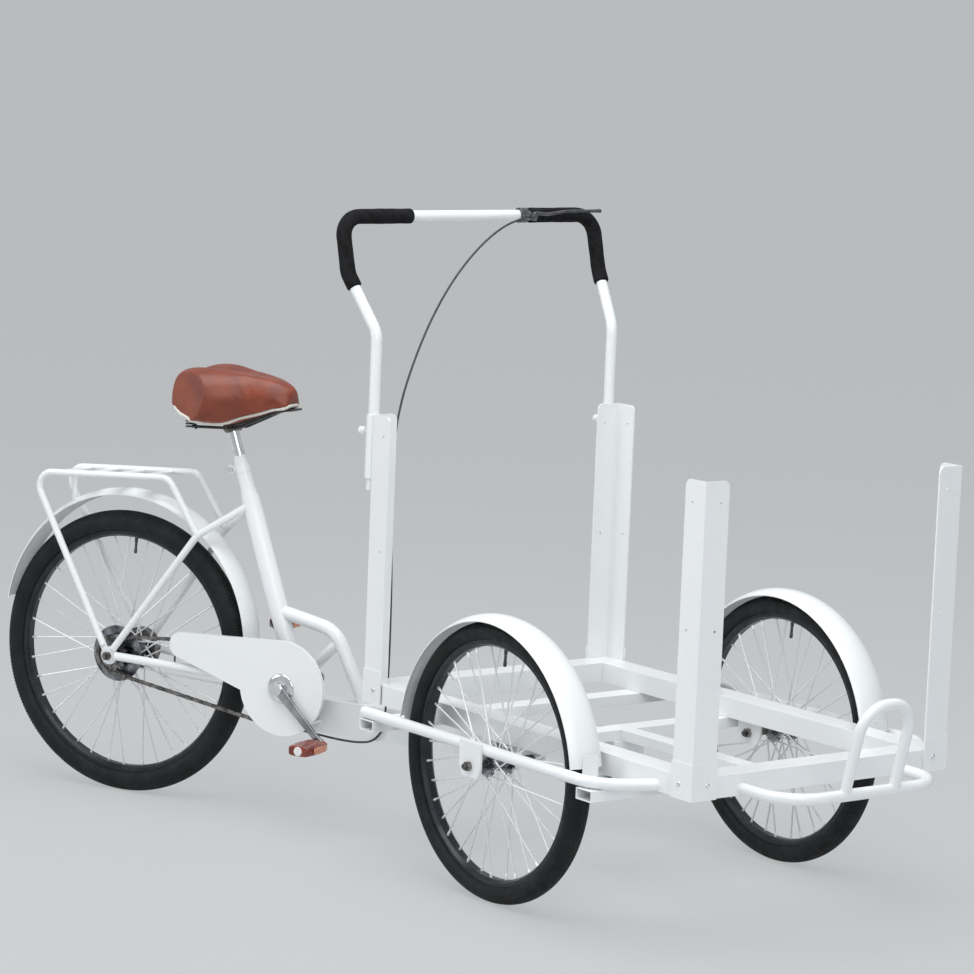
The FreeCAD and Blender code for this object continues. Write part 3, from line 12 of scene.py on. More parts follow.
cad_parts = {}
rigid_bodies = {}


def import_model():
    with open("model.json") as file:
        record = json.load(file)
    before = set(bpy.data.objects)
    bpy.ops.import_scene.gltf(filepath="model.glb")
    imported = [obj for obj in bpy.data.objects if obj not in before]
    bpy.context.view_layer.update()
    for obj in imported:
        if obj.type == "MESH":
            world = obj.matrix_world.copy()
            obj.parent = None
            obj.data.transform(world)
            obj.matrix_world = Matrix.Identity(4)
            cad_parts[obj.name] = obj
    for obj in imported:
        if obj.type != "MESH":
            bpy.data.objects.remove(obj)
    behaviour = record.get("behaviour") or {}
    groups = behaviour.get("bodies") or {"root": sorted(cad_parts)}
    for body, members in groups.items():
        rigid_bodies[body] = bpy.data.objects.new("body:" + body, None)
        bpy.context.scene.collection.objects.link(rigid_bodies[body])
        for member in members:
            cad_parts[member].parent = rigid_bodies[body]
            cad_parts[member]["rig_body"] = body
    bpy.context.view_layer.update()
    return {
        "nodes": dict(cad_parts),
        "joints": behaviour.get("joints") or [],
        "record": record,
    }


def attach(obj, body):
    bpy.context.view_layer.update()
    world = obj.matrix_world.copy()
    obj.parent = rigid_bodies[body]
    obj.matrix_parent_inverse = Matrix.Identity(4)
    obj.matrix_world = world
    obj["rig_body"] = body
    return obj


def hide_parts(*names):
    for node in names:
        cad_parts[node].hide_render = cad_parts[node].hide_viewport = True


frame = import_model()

bl_info = {
    "name": "Cargo tricycle looks",
    "version": (1, 0, 0),
    "blender": (4, 5, 0),
    "location": "View3D > Sidebar > Cargo tricycle",
    "description": "Finishes and fine pieces of a front-loading cargo tricycle round its packed frame",
    "category": "Object",
}

MM = 0.001
TURN = 2 * math.pi
NODE_SLOT = {row["node"]: row["material_slot"] for row in frame["record"]["subparts"]}
JOINT_OF = {joint["child"]: joint for joint in frame["joints"]}

# Camera: the photograph's place, turn and focal length
CAMERA_PLACE = (6.408344, -4.889769, 1.92590)
CAMERA_YAW = 2.4940732
CAMERA_PITCH = -0.1366972
CAMERA_ROLL = 0.0398145
CAMERA_LENS = 135.21
CAMERA_REACH = 200.0
SENSOR_WIDTH = 36.0

# Studio: lamps as name, place, aim, size and share of the key light, and the air's two strengths
LAMPS = (
    ("overhead_lamp", (0.5, -0.8, 4.2), (0, 0, 0.4), 4.0, 1.0),
    ("front_lamp", (4.5, -2.0, 2.6), (0, 0, 0.5), 2.6, 0.35),
    ("side_lamp", (-2.5, -4.5, 2.4), (0, 0, 0.5), 2.6, 0.3),
)
FLOOR_HALF = 60.0
FLOOR_ROUGHNESS = (0.72, 0.88)
AIR_COLOUR = (0.9, 0.95, 1.0)
AIR_LIGHT = 0.5
AIR_SEEN = 0.865

# Joining of meshes
JOIN_DISTANCE = 0.00002
WELD_DISTANCE = 0.000001
FLAT_ANGLE = math.radians(0.2)
CAD_SHARP = math.radians(32.0)
SHELL_SHARP = math.radians(38.0)

# All sizes from here on are in millimetres, and an outline is a row of (radius, along) about an axis

# Lines of the part: where they lie in the frame, and the parked turn of the rider frame about its kingpin
PART_SHIFT = (402.9729, 108.0192)
PARKED_STEERING = math.radians(25.3)
KINGPIN_SETBACK = 138.0

# Wheels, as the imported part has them; a tyre's marks are degrees round its section, from side to crown
WHEEL_SIZES = {
    "front_right": {"tyre": 300.0, "bead": 253.5, "flange": 28.0, "spacing": 52.0},
    "front_left": {"tyre": 300.0, "bead": 253.5, "flange": 28.0, "spacing": 52.0},
    "rear": {"tyre": 334.0, "bead": 279.5, "flange": 33.0, "spacing": 62.0},
}
TYRE_HALF = 27.5
TYRE_WIDEST_SHARE = 0.42
TYRE_STRETCHES = ((4, 28, 5), (32, 66, 8), (69, 90, 8))
TYRE_SHOULDER = (30, 68)
TYRE_GROOVE = (74, 79)
TYRE_CENTRE_DEPTH = 60.0
RIM_FLANGE = 7.0
RIM_WELL = 6.0
BEAD_HALF = 13.5

# Spokes and valves: a spoke's outline is in shares of its radius and its length
SPOKES_PER_SIDE = 18
SPOKE_CROSSES = 3
SPOKE_OFFSET = 3.5
SPOKE_HOLE_INSET = 3.0
SPOKE_SHOWN_RADIUS = 1.9
SPOKE_OUTLINE = ((0, 0), (1, 0), (1, 0.02), (1, 0.98), (1.25, 1), (0, 1))
NIPPLE_OUTLINE = ((0, -1), (2.9, -1), (2.9, 7), (2.3, 11), (1.6, 13), (0, 13))
VALVE_TURN = math.radians(86.5)
VALVE_OUTLINE = ((0, 0), (4.2, 0), (4.2, 9), (3.2, 12), (3.2, 27), (3.9, 28), (3.9, 36), (3.0, 38), (0, 38))

# Bolts of the corner sleeves
SLEEVE_ENDS = ((1, 575.0), (-1, -571.0))
SLEEVE_SIDE = 350.5
BOLT_HEIGHT = 357.0
BOLT_INSET = 41.0
BOLT_OUTLINE = ((0, -1), (5.4, -1), (5.4, 0.9), (4.7, 2.0), (3.2, 2.7), (2.4, 2.8), (2.3, 1.2), (0, 1.2))

# Push bar and grips
BAR_RADIUS = 12.7
BAR_LINE = -587.7
BAR_HALF = ((0.0, 334.0, 800.0), (0.0, 334.0, 1150.0), (-88.0, 356.0, 1275.0), (-120.0, 356.0, 1399.0),
            (-120.0, 0.0, 1399.0))
BAR_BENDS = (60.0, 60.0, 48.0)
BAR_STEP = 3.0
GRIP_RADIUS = 17.0
GRIP_LOW = 1243.0
GRIP_INNER = 163.0
GRIP_LIP = 6.0
GRIP_WAVES = ((0.25, 17.0), (0.15, 6.3))

# Brake lever, as offsets from its clamp's middle on the bar
LEVER_LINE = 149.0
CLAMP_OUTLINE = ((BAR_RADIUS + 0.1, -12), (16.2, -12), (17.5, -10.5), (17.5, 10.5), (16.2, 12),
                 (BAR_RADIUS + 0.1, 12))
LUG_LINE = ((14, -1, 0), (34, 0, 0), (50, 3, 0))
LUG_RADIUS = 10.5
LUG_FLATNESS = 0.86
BLADE_LINE = ((44, 2, 8), (45, 40, 5), (46, 92, 12.2), (48, 194, 12.4))
BLADE_BENDS = (60, 90)
BLADE_HALF = 6.4
BLADE_WAIST = 1.4
BLADE_KNOB = 1.2
BLADE_FLATNESS = 0.62
BARREL_PLACE = (40, -12, 0)
BARREL_OUTLINE = ((0, -6), (4.6, -6), (4.6, 3), (3.6, 4), (3.6, 12), (2.6, 13), (0, 13))
PIVOT_PLACE = (44, 4, 0)
PIVOT_OUTLINE = ((0, -9.5), (4.4, -9.5), (5.2, -8.6), (5.2, 8.6), (4.4, 9.5), (2.2, 9.5), (2.2, 8.4),
                 (0, 8.4))

# Saddle, in the rider frame's lines: a section is its place, half width and underside as shares
SADDLE_LENGTH = 290.0
SADDLE_HALF = 118.0
SADDLE_NOSE = -816.0
SADDLE_BOTTOM = 902.0
SADDLE_DEPTH = 126.0
SADDLE_SECTIONS = np.array((
    (0.0, 0.6, 0.3), (0.1, 0.9, 0.16), (0.26, 1.0, 0.04), (0.48, 0.7, 0.0), (0.7, 0.4, 0.18),
    (0.88, 0.32, 0.33), (1.0, 0.2, 0.37),
))
SADDLE_CROWNS = (0.8, 0.96, 1.0, 0.98, 0.93, 0.86, 0.72)
CLOTH_PRESSURE = 4.0
CLOTH_FRAMES = 20
PAD_EDGE_SHARE = 0.97
PAD_SAG = 9.0
PAD_SAG_PLACE = 0.45
PAD_SAG_LENGTH = 0.16
ARCH_POWER = 3.1
ARCH_SHARE = 0.14
ARCH_LIFT = 9.5
ARCH_SPREAD = 6.0
DISH_DEPTH = 7.0
DISH_WIDTH = 30.0
REAR_CORNER = (-0.312, 0.940, 0.136)
REAR_CORNER_DISTANCE = 549.8
WELT_STEP = 4.0
WELT_HALVES = (2.6, 4.4)

# Saddle's wire frame
SEAT_POST = (-982.5, 0.0, 884.0)
PLATE_HALVES = ((20.0,) * 7, (50.0, 72.0, 84.0))
PLATE_DROP = 2.8
PLATE_SECTION = ((0, -1, -2.4), (0, 1, -2.4), (0, 1, 2.4), (0, -1, 2.4))
RAIL_HEIGHT = SEAT_POST[2] + 7.0
RAIL_HALF = ((-858, 12, 938), (-960.5, 21, RAIL_HEIGHT), (-1057, 62, RAIL_HEIGHT))
RAIL_BEND = 30
RAIL_RADIUS = 3.5
SPRING_PLACE = (-1057.0, 62.0)
SPRING_RADIUS = 11.6
SPRING_TURNS = 3.6
SPRING_PITCH = 6.6
SPRING_DROP = 4.2
SPRING_WIRE = 2.3
POST_CLAMP_OUTLINE = ((0, -27.5), (9, -27.5), (11.8, -25.5), (11.8, -8), (10.2, -6.5), (10.2, 6.5), (11.8, 8),
                      (11.8, 25.5), (9, 27.5), (0, 27.5))
POST_NUT_OUTLINE = ((0, -33), (5.5, -33), (6.5, -31.5), (6.5, 31.5), (5.5, 33), (0, 33))

# Seat collar
SEAT_TUBE_LEAN = math.radians(18.9)
SEAT_TUBE_TOP = np.array((-950.3, 0, 790.0))
COLLAR_OUTLINE = ((13.7, 0), (18.6, 0), (18.9, 9), (18.4, 13), (15.9, 30), (15.4, 38), (14.8, 40), (13.7, 40))
COLLAR_OVERLAP = 2.0
EAR_OFFSET = (-25.0, 0, 4.0)
EAR_OUTLINE = ((5.4, -13), (8.6, -13), (9.6, -11.5), (9.6, 11.5), (8.6, 13), (5.4, 13))
EAR_SCREW_OUTLINE = ((0, -24), (5.2, -24), (5.2, 24), (4.4, 25), (0, 25))

# Drive, in the rider frame's lines
CRANK_AXIS = (-787.0, 313.0)
CRANK_LENGTH = 162.0
CRANK_ANGLE = math.radians(-43.7)
ARM_LINE = 88.0
ARM_BOSS = 14.0
ARM_WAIST = 6.2
ARM_EYE = 12.0
ARM_EYE_SWELL = 3.4
ARM_HALF_THICKNESS = 5.6
DOME_LINE = 76.3
DOME_OUTLINE = ((0, 0), (34, 0), (34, 1.1), (33, 2.5), (28, 4.2), (18, 5.2), (0, 5.4))
CAP_LINE = 94.0
CAP_OUTLINE = ((0, 0), (12.5, 0), (12.5, 2.6), (11.4, 4.4), (8, 5.5), (7.2, 5.2), (0, 5.8))
SPINDLE_OUTLINE = ((0, -1), (7.4, -1), (7.4, 2.6), (6.4, 3.4), (0, 3.4))
REAR_AXLE = (-1255.0, 334.0)
CHAIN_LINE = -60.0
CHAIN_RADII = (95.9, 43.47)
CHAIN_PITCH = 12.7
ROLLER_OUTLINE = ((0, -3.3), (3.0, -3.3), (3.0, 3.3), (0, 3.3))
LINK_LEVELS = (3.0, 1.9)
LINK_HALF_HEIGHT = 4.2
LINK_HALF_THICKNESS = 0.5

# Pedals
PEDAL_INNER = 100.0
PEDAL_LENGTH = 92.0
PEDAL_WIDTH = 64.0
PEDAL_HEIGHT = 24.0
PEDAL_CAP_ROOM = 2.6
PEDAL_RIB_PITCH = 9.0
REFLECTOR_HALVES = (27.0, 7.5)
REFLECTOR_SECTION = ((0, 0), (1, 0), (1, 0.7), (0.94, 1), (0, 1))
REFLECTOR_DEPTH = 2.2
REFLECTOR_SINK = 1.2
REFLECTOR_PLACE = 0.47
PEDAL_CAP_OUTLINE = ((0, -2), (10.5, -2), (10.5, 0.6), (9.6, 1.8), (6.0, 2.4), (0, 2.5))
PEDAL_COLLAR_OUTLINE = ((0, -2), (9.5, -2), (9.5, 2), (8.2, 3.4), (0, 3.4))

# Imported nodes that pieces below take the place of, and the one whose finish is not its slot's
REPLACED = {"grips", "brake_lever", "saddle_cushion", "saddle_frame", "right_pedal", "left_pedal", "chain",
            "crank_arms"}
REPLACED_ENDINGS = ("_tyre", "_spokes")
CUT_EDGE_ENDINGS = ("_rail", "_post", "_tubes", "_bar", "_bracket", "_hangers", "_beam")
NODE_FINISH = {"spoke_guard": "hub_metal"}

# Tints: the paint's shade and the rubber's dust, as shares of their colour
PAINT_SHADE = 0.975
DUST_SHARE = 1.5
DUST_ADDED = 0.002


# Settings that a user would change

class PaintSettings(bpy.types.PropertyGroup):
    white: FloatVectorProperty(name="Frame paint", description="Colour of the frame's gloss paint",
                               subtype="COLOR", size=3, min=0, max=1, default=(0.83, 0.845, 0.85))
    edge: FloatProperty(name="Edge radius", description="Rounding of the frame's cut edges",
                        subtype="DISTANCE", unit="LENGTH", min=0, default=0.0011)


class WheelSettings(bpy.types.PropertyGroup):
    rubber: FloatVectorProperty(name="Rubber", description="Colour of the tyres",
                                subtype="COLOR", size=3, min=0, max=1, default=(0.009, 0.0095, 0.010))
    rib_depth: FloatProperty(name="Rib depth", description="Depth of the shoulder ribs of the tread",
                             subtype="DISTANCE", unit="LENGTH", min=0, default=0.0012)
    rib_pitch: FloatProperty(name="Rib pitch", description="Distance from one shoulder rib to the next",
                             subtype="DISTANCE", unit="LENGTH", min=0.002, default=0.008)


class SaddleSettings(bpy.types.PropertyGroup):
    voxel: FloatProperty(name="Voxel", description="Size of the even mesh that the pad is made of",
                         subtype="DISTANCE", unit="LENGTH", min=0.002, default=0.005)
    draw_in: FloatProperty(name="Drawn in", description="How far the pad is drawn in before it swells",
                           subtype="DISTANCE", unit="LENGTH", min=0, default=0.0035)
    swell: FloatProperty(name="Swell", description="The most that a point of the pad may swell",
                         subtype="DISTANCE", unit="LENGTH", min=0, default=0.005)


class StageSettings(bpy.types.PropertyGroup):
    floor: FloatVectorProperty(name="Floor", description="Colour of the studio floor",
                               subtype="COLOR", size=3, min=0, max=1, default=(0.6, 0.61, 0.62))
    backdrop: FloatVectorProperty(name="Backdrop", description="Tone of the air and of the far floor",
                                  subtype="COLOR", size=3, min=0, max=1, default=(0.56, 0.57, 0.58))
    backdrop_share: FloatProperty(name="Backdrop share", description="Share of the plain tone in the floor",
                                  subtype="FACTOR", min=0, max=1, default=0.72)
    key_power: FloatProperty(name="Key light", description="Power of the large overhead lamp",
                             subtype="POWER", unit="POWER", min=0, default=152.0)


# Materials

class Noise(NamedTuple):
    """Noise of a scale per metre."""
    scale: float
    detail: float = 3.0
    stretch: tuple = (1, 1, 1)


class Cells(NamedTuple):
    """Distance to the nearest of scattered points, of a scale per metre."""
    scale: float


class Look(NamedTuple):
    """A finish in numbers: its metal share, and a pattern with its values for tint, roughness and grain."""
    name: str
    metal: float
    tint: tuple
    sheen: tuple
    grain: tuple
    inputs: dict = {}


class Finish:
    """One procedural material on Object coordinates, built up a layer at a time."""

    def __init__(self, name, inputs):
        self.material = bpy.data.materials.new(name)
        self.material.use_nodes = True
        self.tree = self.material.node_tree
        self.shader = self.tree.nodes["Principled BSDF"]
        self.place = self.tree.nodes.new("ShaderNodeTexCoord").outputs["Object"]
        for socket, value in inputs.items():
            self.shader.inputs[socket].default_value = value

    def add(self, kind, **values):
        """A node with plain values on its inputs, where a name's underscores stand for spaces."""
        node = self.tree.nodes.new(kind)
        for socket, value in values.items():
            node.inputs[socket.replace("_", " ")].default_value = value
        return node

    def pattern(self, kind):
        """The pattern's value over the piece: noise with a stretch, or the distance to the nearest cell."""
        if isinstance(kind, Cells):
            texture = self.add("ShaderNodeTexVoronoi", Scale=kind.scale)
            self.tree.links.new(self.place, texture.inputs["Vector"])
            return texture.outputs["Distance"]
        mapping = self.add("ShaderNodeMapping", Scale=kind.stretch)
        self.tree.links.new(self.place, mapping.inputs["Vector"])
        texture = self.add("ShaderNodeTexNoise", Scale=kind.scale, Detail=kind.detail)
        self.tree.links.new(mapping.outputs["Vector"], texture.inputs["Vector"])
        return texture.outputs["Fac"]

    def tint(self, kind, low, high, span=(0.35, 0.65)):
        """Base colour from the low tint to the high one as the pattern goes over its span."""
        node = self.add("ShaderNodeValToRGB")
        for element, position, colour in zip(node.color_ramp.elements, span, (low, high)):
            element.position = position
            element.color = (*colour, 1)
        self.tree.links.new(self.pattern(kind), node.inputs["Fac"])
        self.tree.links.new(node.outputs["Color"], self.shader.inputs["Base Color"])

    def sheen(self, kind, low, high):
        """Roughness from low to high over the pattern's middle."""
        node = self.add("ShaderNodeMapRange", From_Min=0.3, From_Max=0.7, To_Min=low, To_Max=high)
        self.tree.links.new(self.pattern(kind), node.inputs["Value"])
        self.tree.links.new(node.outputs["Result"], self.shader.inputs["Roughness"])

    def grain(self, kind, distance, strength=1.0):
        """Bumps as high as the distance where the pattern is at its most."""
        node = self.add("ShaderNodeBump", Distance=distance, Strength=strength)
        self.tree.links.new(self.pattern(kind), node.inputs["Height"])
        self.tree.links.new(node.outputs["Normal"], self.shader.inputs["Normal"])


def coat(weight, roughness=0.03):
    """Shader inputs of a clear coat."""
    return {"Coat Weight": weight, "Coat Roughness": roughness}


def looks(paint, wheels):
    """Every finish of the trike, by its material slot's name or its own."""
    white = tuple(paint.white)
    shade = tuple(channel * PAINT_SHADE for channel in white)
    rubber = tuple(wheels.rubber)
    dusty = tuple(channel * DUST_SHARE + DUST_ADDED for channel in rubber)
    return {
        "white_paint": Look("gloss_white_paint", 0.0, (Noise(4.0, 1.0), shade, white, (0.1, 0.9)),
            (Noise(3.0, 1.0), 0.275, 0.285), (Noise(450.0, 1.0), 0.000004), coat(0.35, 0.12)),
        "tyre": Look("tyre_rubber", 0.0, (Noise(22.0, 6.0), rubber, dusty),
            (Noise(60.0), 0.5, 0.72), (Noise(1500.0, 2.0), 0.00005), {"Specular IOR Level": 0.22}),
        "black_rim": Look("black_rim_enamel", 0.0,
            (Noise(30.0), (0.006, 0.007, 0.010), (0.016, 0.018, 0.024)),
            (Noise(80.0), 0.24, 0.4), (Noise(700.0), 0.00002),
            {"Specular IOR Level": 0.35, **coat(0.15, 0.08)}),
        "spoke_steel": Look("bright_spoke_steel", 0.45, (Noise(4.0, 1.0), (0.8, 0.8, 0.81), (0.9, 0.9, 0.91)),
            (Noise(5.0, 1.0), 0.28, 0.34), (Noise(300.0), 0.000002)),
        "hub_metal": Look("hub_alloy", 1.0, (Noise(60.0), (0.1, 0.105, 0.12), (0.34, 0.35, 0.37)),
            (Noise(110.0), 0.18, 0.38), (Noise(900.0), 0.00002)),
        "steel": Look("dark_drive_steel", 1.0, (Noise(70.0, 5.0), (0.1, 0.095, 0.09), (0.33, 0.32, 0.31)),
            (Noise(140.0), 0.3, 0.55), (Noise(1100.0), 0.00003)),
        "chrome": Look("bright_chrome", 1.0, (Noise(35.0), (0.72, 0.73, 0.74), (0.88, 0.89, 0.9)),
            (Noise(90.0), 0.05, 0.14), (Noise(400.0), 0.00001)),
        "polished_crank": Look("polished_crank", 1.0, (Noise(28.0), (0.26, 0.27, 0.28), (0.46, 0.47, 0.48)),
            (Noise(70.0, 4.0, (1, 1, 6)), 0.12, 0.3), (Noise(300.0), 0.00002)),
        "grip_foam": Look("grip_foam", 0.0, (Noise(60.0, 6.0), (0.005, 0.005, 0.0055), (0.012, 0.012, 0.013)),
            (Noise(90.0), 0.82, 0.96), (Cells(900.0), 0.0003, 0.7), {"Specular IOR Level": 0.2}),
        "black_lever": Look("lever_black", 0.0, (Noise(60.0), (0.02, 0.02, 0.021), (0.05, 0.05, 0.053)),
            (Noise(120.0), 0.25, 0.5), (Noise(800.0), 0.00004), coat(0.6, 0.12)),
        "black_wire": Look("black_wire_paint", 0.0, (Noise(80.0), (0.013, 0.013, 0.014), (0.04, 0.04, 0.042)),
            (Noise(150.0), 0.3, 0.55), (Noise(900.0), 0.00003), coat(0.2)),
        "brown_cover": Look("saddle_cover", 0.0,
            (Noise(14.0, 5.0), (0.15, 0.022, 0.007), (0.25, 0.046, 0.014)),
            (Noise(50.0), 0.36, 0.52), (Cells(1400.0), 0.00015, 0.6), coat(0.2, 0.3)),
        "brown_pedal": Look("pedal_plastic", 0.0, (Noise(40.0), (0.13, 0.015, 0.008), (0.26, 0.045, 0.022)),
            (Noise(90.0), 0.16, 0.34), (Noise(700.0), 0.00003), coat(0.4)),
        "saddle_trim": Look("saddle_trim", 0.0, (Noise(50.0), (0.62, 0.6, 0.54), (0.74, 0.72, 0.66)),
            (Noise(90.0), 0.32, 0.5), (Noise(900.0), 0.00003)),
        "cable_sheath": Look("cable_sheath", 0.0, (Noise(70.0), (0.012, 0.012, 0.013), (0.035, 0.035, 0.037)),
            (Noise(120.0), 0.3, 0.5), (Noise(1500.0), 0.00003), coat(0.25)),
        "amber_reflector": Look("amber_reflector", 0.0, (Noise(120.0), (0.55, 0.17, 0.08), (0.7, 0.3, 0.16)),
            (Noise(150.0), 0.1, 0.24), (Cells(420.0), 0.0004, 0.8), coat(0.7, 0.05)),
        "white_cap": Look("white_cap", 0.0, (Noise(80.0), (0.7, 0.69, 0.66), (0.82, 0.81, 0.78)),
            (Noise(120.0), 0.24, 0.4), (Noise(900.0), 0.00003), coat(0.3)),
    }


FINISHES = {}


def finish_for(name):
    """The finish of a slot, or one of the extra finishes, made when it is first asked for."""
    if not FINISHES:
        scene = bpy.context.scene
        for key, look in looks(scene.trike_paint, scene.trike_wheels).items():
            finish = Finish(look.name, {"Metallic": look.metal, **look.inputs})
            finish.tint(*look.tint)
            finish.sheen(*look.sheen)
            finish.grain(*look.grain)
            FINISHES[key] = finish.material
    return FINISHES[name]


# Places in the frame, in metres

def wheel_place(body):
    """Centre of a turning body and its three directions: ahead, along the axle, up."""
    joint = JOINT_OF[body]
    axis = np.array(joint["axis"])
    up = np.array((0.0, 0.0, 1.0))
    return np.array(joint["pos_m"]), np.cross(axis, up), axis, up


def about_axle(body, radius, along, angle):
    """Points at a radius and an angle about a body's axle, at a distance along it."""
    centre, ahead, axis, up = wheel_place(body)
    radius, along, angle = (value[..., None] for value in np.broadcast_arrays(radius, along, angle))
    return centre + MM * (radius * (np.cos(angle) * ahead + np.sin(angle) * up) + along * axis)


def platform_place(points):
    """Lines of the platform as metres in the frame."""
    return MM * (np.asarray(points, float) + (*PART_SHIFT, 0.0))


def rider_place(points):
    """Lines of the rider frame, which turns about the kingpin, as metres in the frame."""
    points = np.asarray(points, float)
    cosine = math.cos(PARKED_STEERING)
    sine = math.sin(PARKED_STEERING)
    ahead = points[..., 0] * cosine - points[..., 1] * sine - KINGPIN_SETBACK
    across = points[..., 0] * sine + points[..., 1] * cosine
    return platform_place(np.stack([ahead, across, points[..., 2]], axis=-1))


# Lines and rows of rings, worked out as whole arrays in the unit of the points given

def unit(direction):
    """Directions brought to a length of one."""
    direction = np.asarray(direction, float)
    return direction / np.linalg.norm(direction, axis=-1, keepdims=True)


def circle(count):
    """Angles of a closed ring."""
    return np.linspace(0, TURN, count, endpoint=False)


def squared_circle(count, power):
    """A ring's two coordinates, with each raised to a power: under one, it fills towards a rectangle."""
    angle = circle(count)
    across, upward = np.cos(angle), np.sin(angle)
    return np.sign(across) * np.abs(across) ** power, np.sign(upward) * np.abs(upward) ** power


def distances(points):
    """Distance from the first point of a line to each of its points."""
    return np.concatenate([[0], np.cumsum(np.linalg.norm(np.diff(points, axis=0), axis=1))])


def even_line(points, step):
    """The same line with points at even distances along it."""
    points = np.asarray(points, float)
    along = distances(points)
    where = np.linspace(0, along[-1], max(2, int(round(along[-1] / step)) + 1))
    return np.stack([np.interp(where, along, points[:, axis]) for axis in range(3)], axis=1)


def rounded_line(points, bends, steps=10):
    """Straight runs joined by arcs, one radius for each corner, as a row of points."""
    points = np.asarray(points, float)
    rows = [points[:1]]
    for before, corner, after, bend in zip(points, points[1:], points[2:], bends):
        into, out = unit(corner - before), unit(after - corner)
        half = math.acos(np.clip(into @ out, -1, 1)) / 2
        centre = corner + unit(out - into) * bend / math.cos(half)
        spread = np.linspace(-half, half, steps)[:, None]
        rows.append(centre - bend * (unit(out - into) * np.cos(spread) - unit(into + out) * np.sin(spread)))
    rows.append(points[-1:])
    return np.concatenate(rows)


def round_ends(path, radius, steps=4):
    """A path and its radii with quarter-round ends added inside its length."""
    path = np.asarray(path, float)
    radius = np.broadcast_to(np.asarray(radius, float), len(path))
    angle = np.linspace(0, math.pi / 2, steps + 1)
    into = unit(path[1] - path[0])
    out = unit(path[-2] - path[-1])
    start = path[0] + into * (radius[0] * (1 - np.cos(angle)))[:, None]
    end = path[-1] + out * (radius[-1] * (1 - np.cos(angle)))[:, None]
    return (np.concatenate([start, path[1:-1], end[::-1]]),
            np.concatenate([radius[0] * np.sin(angle), radius[1:-1], radius[-1] * np.sin(angle)[::-1]]))


def tube_rows(path, radius, around=16, upright=(0, 0, 1), flatness=1.0):
    """Rings square to a path, whose second half width is a share of the first."""
    run = unit(np.gradient(path, axis=0))
    first = unit(np.cross(run, upright))
    second = np.cross(first, run)
    angle = circle(around)[None, :, None]
    radius = np.broadcast_to(np.asarray(radius, float), len(path))[:, None, None]
    ring = np.cos(angle) * first[:, None] + flatness * np.sin(angle) * second[:, None]
    return path[:, None] + radius * ring


def turned_rows(centre, axis, outline, around=20):
    """An outline turned about an axis through a centre."""
    axis = unit(axis)
    first = unit(np.cross(axis, (0.31, 0.17, 0.93)))
    second = np.cross(axis, first)
    outline = np.asarray(outline, float)
    angle = circle(around)[:, None]
    ring = np.cos(angle) * first + np.sin(angle) * second
    return np.asarray(centre, float) + outline[:, 1, None, None] * axis + outline[:, 0, None, None] * ring


def needle_rows(starts, run, axle, radii, reach, around):
    """Rings about many straight runs at once: each ring's radius, and its distance from the run's start."""
    first = unit(np.cross(run, axle))
    second = np.cross(run, first)
    angle = circle(around)[:, None]
    ring = np.cos(angle) * first[:, None, None] + np.sin(angle) * second[:, None, None]
    return starts[:, None, None] + reach[..., None, None] * run[:, None, None] + radii[:, None, None] * ring


# Pieces

def keep_piece(name, mesh, body, slot, replaces=(), finish=None):
    """The mesh as a smooth object at the origin, on its body, with the finish of its slot or its own, and
    with the nodes it stands for hidden.
    """
    mesh.polygons.foreach_set("use_smooth", np.ones(len(mesh.polygons), bool))
    mesh.materials.clear()
    mesh.materials.append(finish_for(finish or slot))
    piece = bpy.data.objects.new(name, mesh)
    bpy.context.scene.collection.objects.link(piece)
    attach(piece, body)
    if replaces:
        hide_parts(*replaces)
    return piece


def mark_sharp(work, angle):
    """Edges are smooth where their two faces meet at less than the angle, and sharp elsewhere."""
    for line in work.edges:
        line.smooth = len(line.link_faces) == 2 and line.calc_face_angle(0) < angle


def grid_faces(rows, columns, close_rows):
    """Four-sided faces between neighbouring rows of a grid of points whose columns close on themselves."""
    row = np.arange(rows if close_rows else rows - 1)
    first, second = np.meshgrid(row, np.arange(columns), indexing="ij")
    below = (first + 1) % rows
    right = (second + 1) % columns
    corners = [first * columns + second, first * columns + right, below * columns + right,
               below * columns + second]
    return np.stack([corner.ravel() for corner in corners], axis=1)


def shell_piece(name, grids, body, slot, replaces=(), finish=None, close_rows=False):
    """Closed shells in one mesh: each grid joins ring to ring, and a ring of no size closes an end."""
    points, faces, start = [], [], 0
    for grid in grids:
        rows, columns = grid.shape[-3:-1]
        blocks = grid.reshape(-1, rows * columns, 3)
        offsets = start + rows * columns * np.arange(len(blocks))
        faces.append((grid_faces(rows, columns, close_rows) + offsets[:, None, None]).reshape(-1, 4))
        points.append(blocks.reshape(-1, 3))
        start += len(blocks) * rows * columns
    mesh = bpy.data.meshes.new(name)
    mesh.from_pydata(np.concatenate(points).tolist(), [], np.concatenate(faces).tolist())
    work = bmesh.new()
    work.from_mesh(mesh)
    bmesh.ops.remove_doubles(work, verts=work.verts, dist=WELD_DISTANCE)
    bmesh.ops.recalc_face_normals(work, faces=work.faces)
    mark_sharp(work, SHELL_SHARP)
    work.to_mesh(mesh)
    work.free()
    return keep_piece(name, mesh, body, slot, replaces, finish)


def platform_piece(name, grids, slot, **rest):
    """A shell of grids that are in the platform's lines."""
    return shell_piece(name, [platform_place(grid) for grid in grids], "platform", slot, **rest)


def rider_piece(name, grids, slot, body="rider_frame", **rest):
    """A shell of grids that are in the rider frame's lines."""
    return shell_piece(name, [rider_place(grid) for grid in grids], body, slot, **rest)


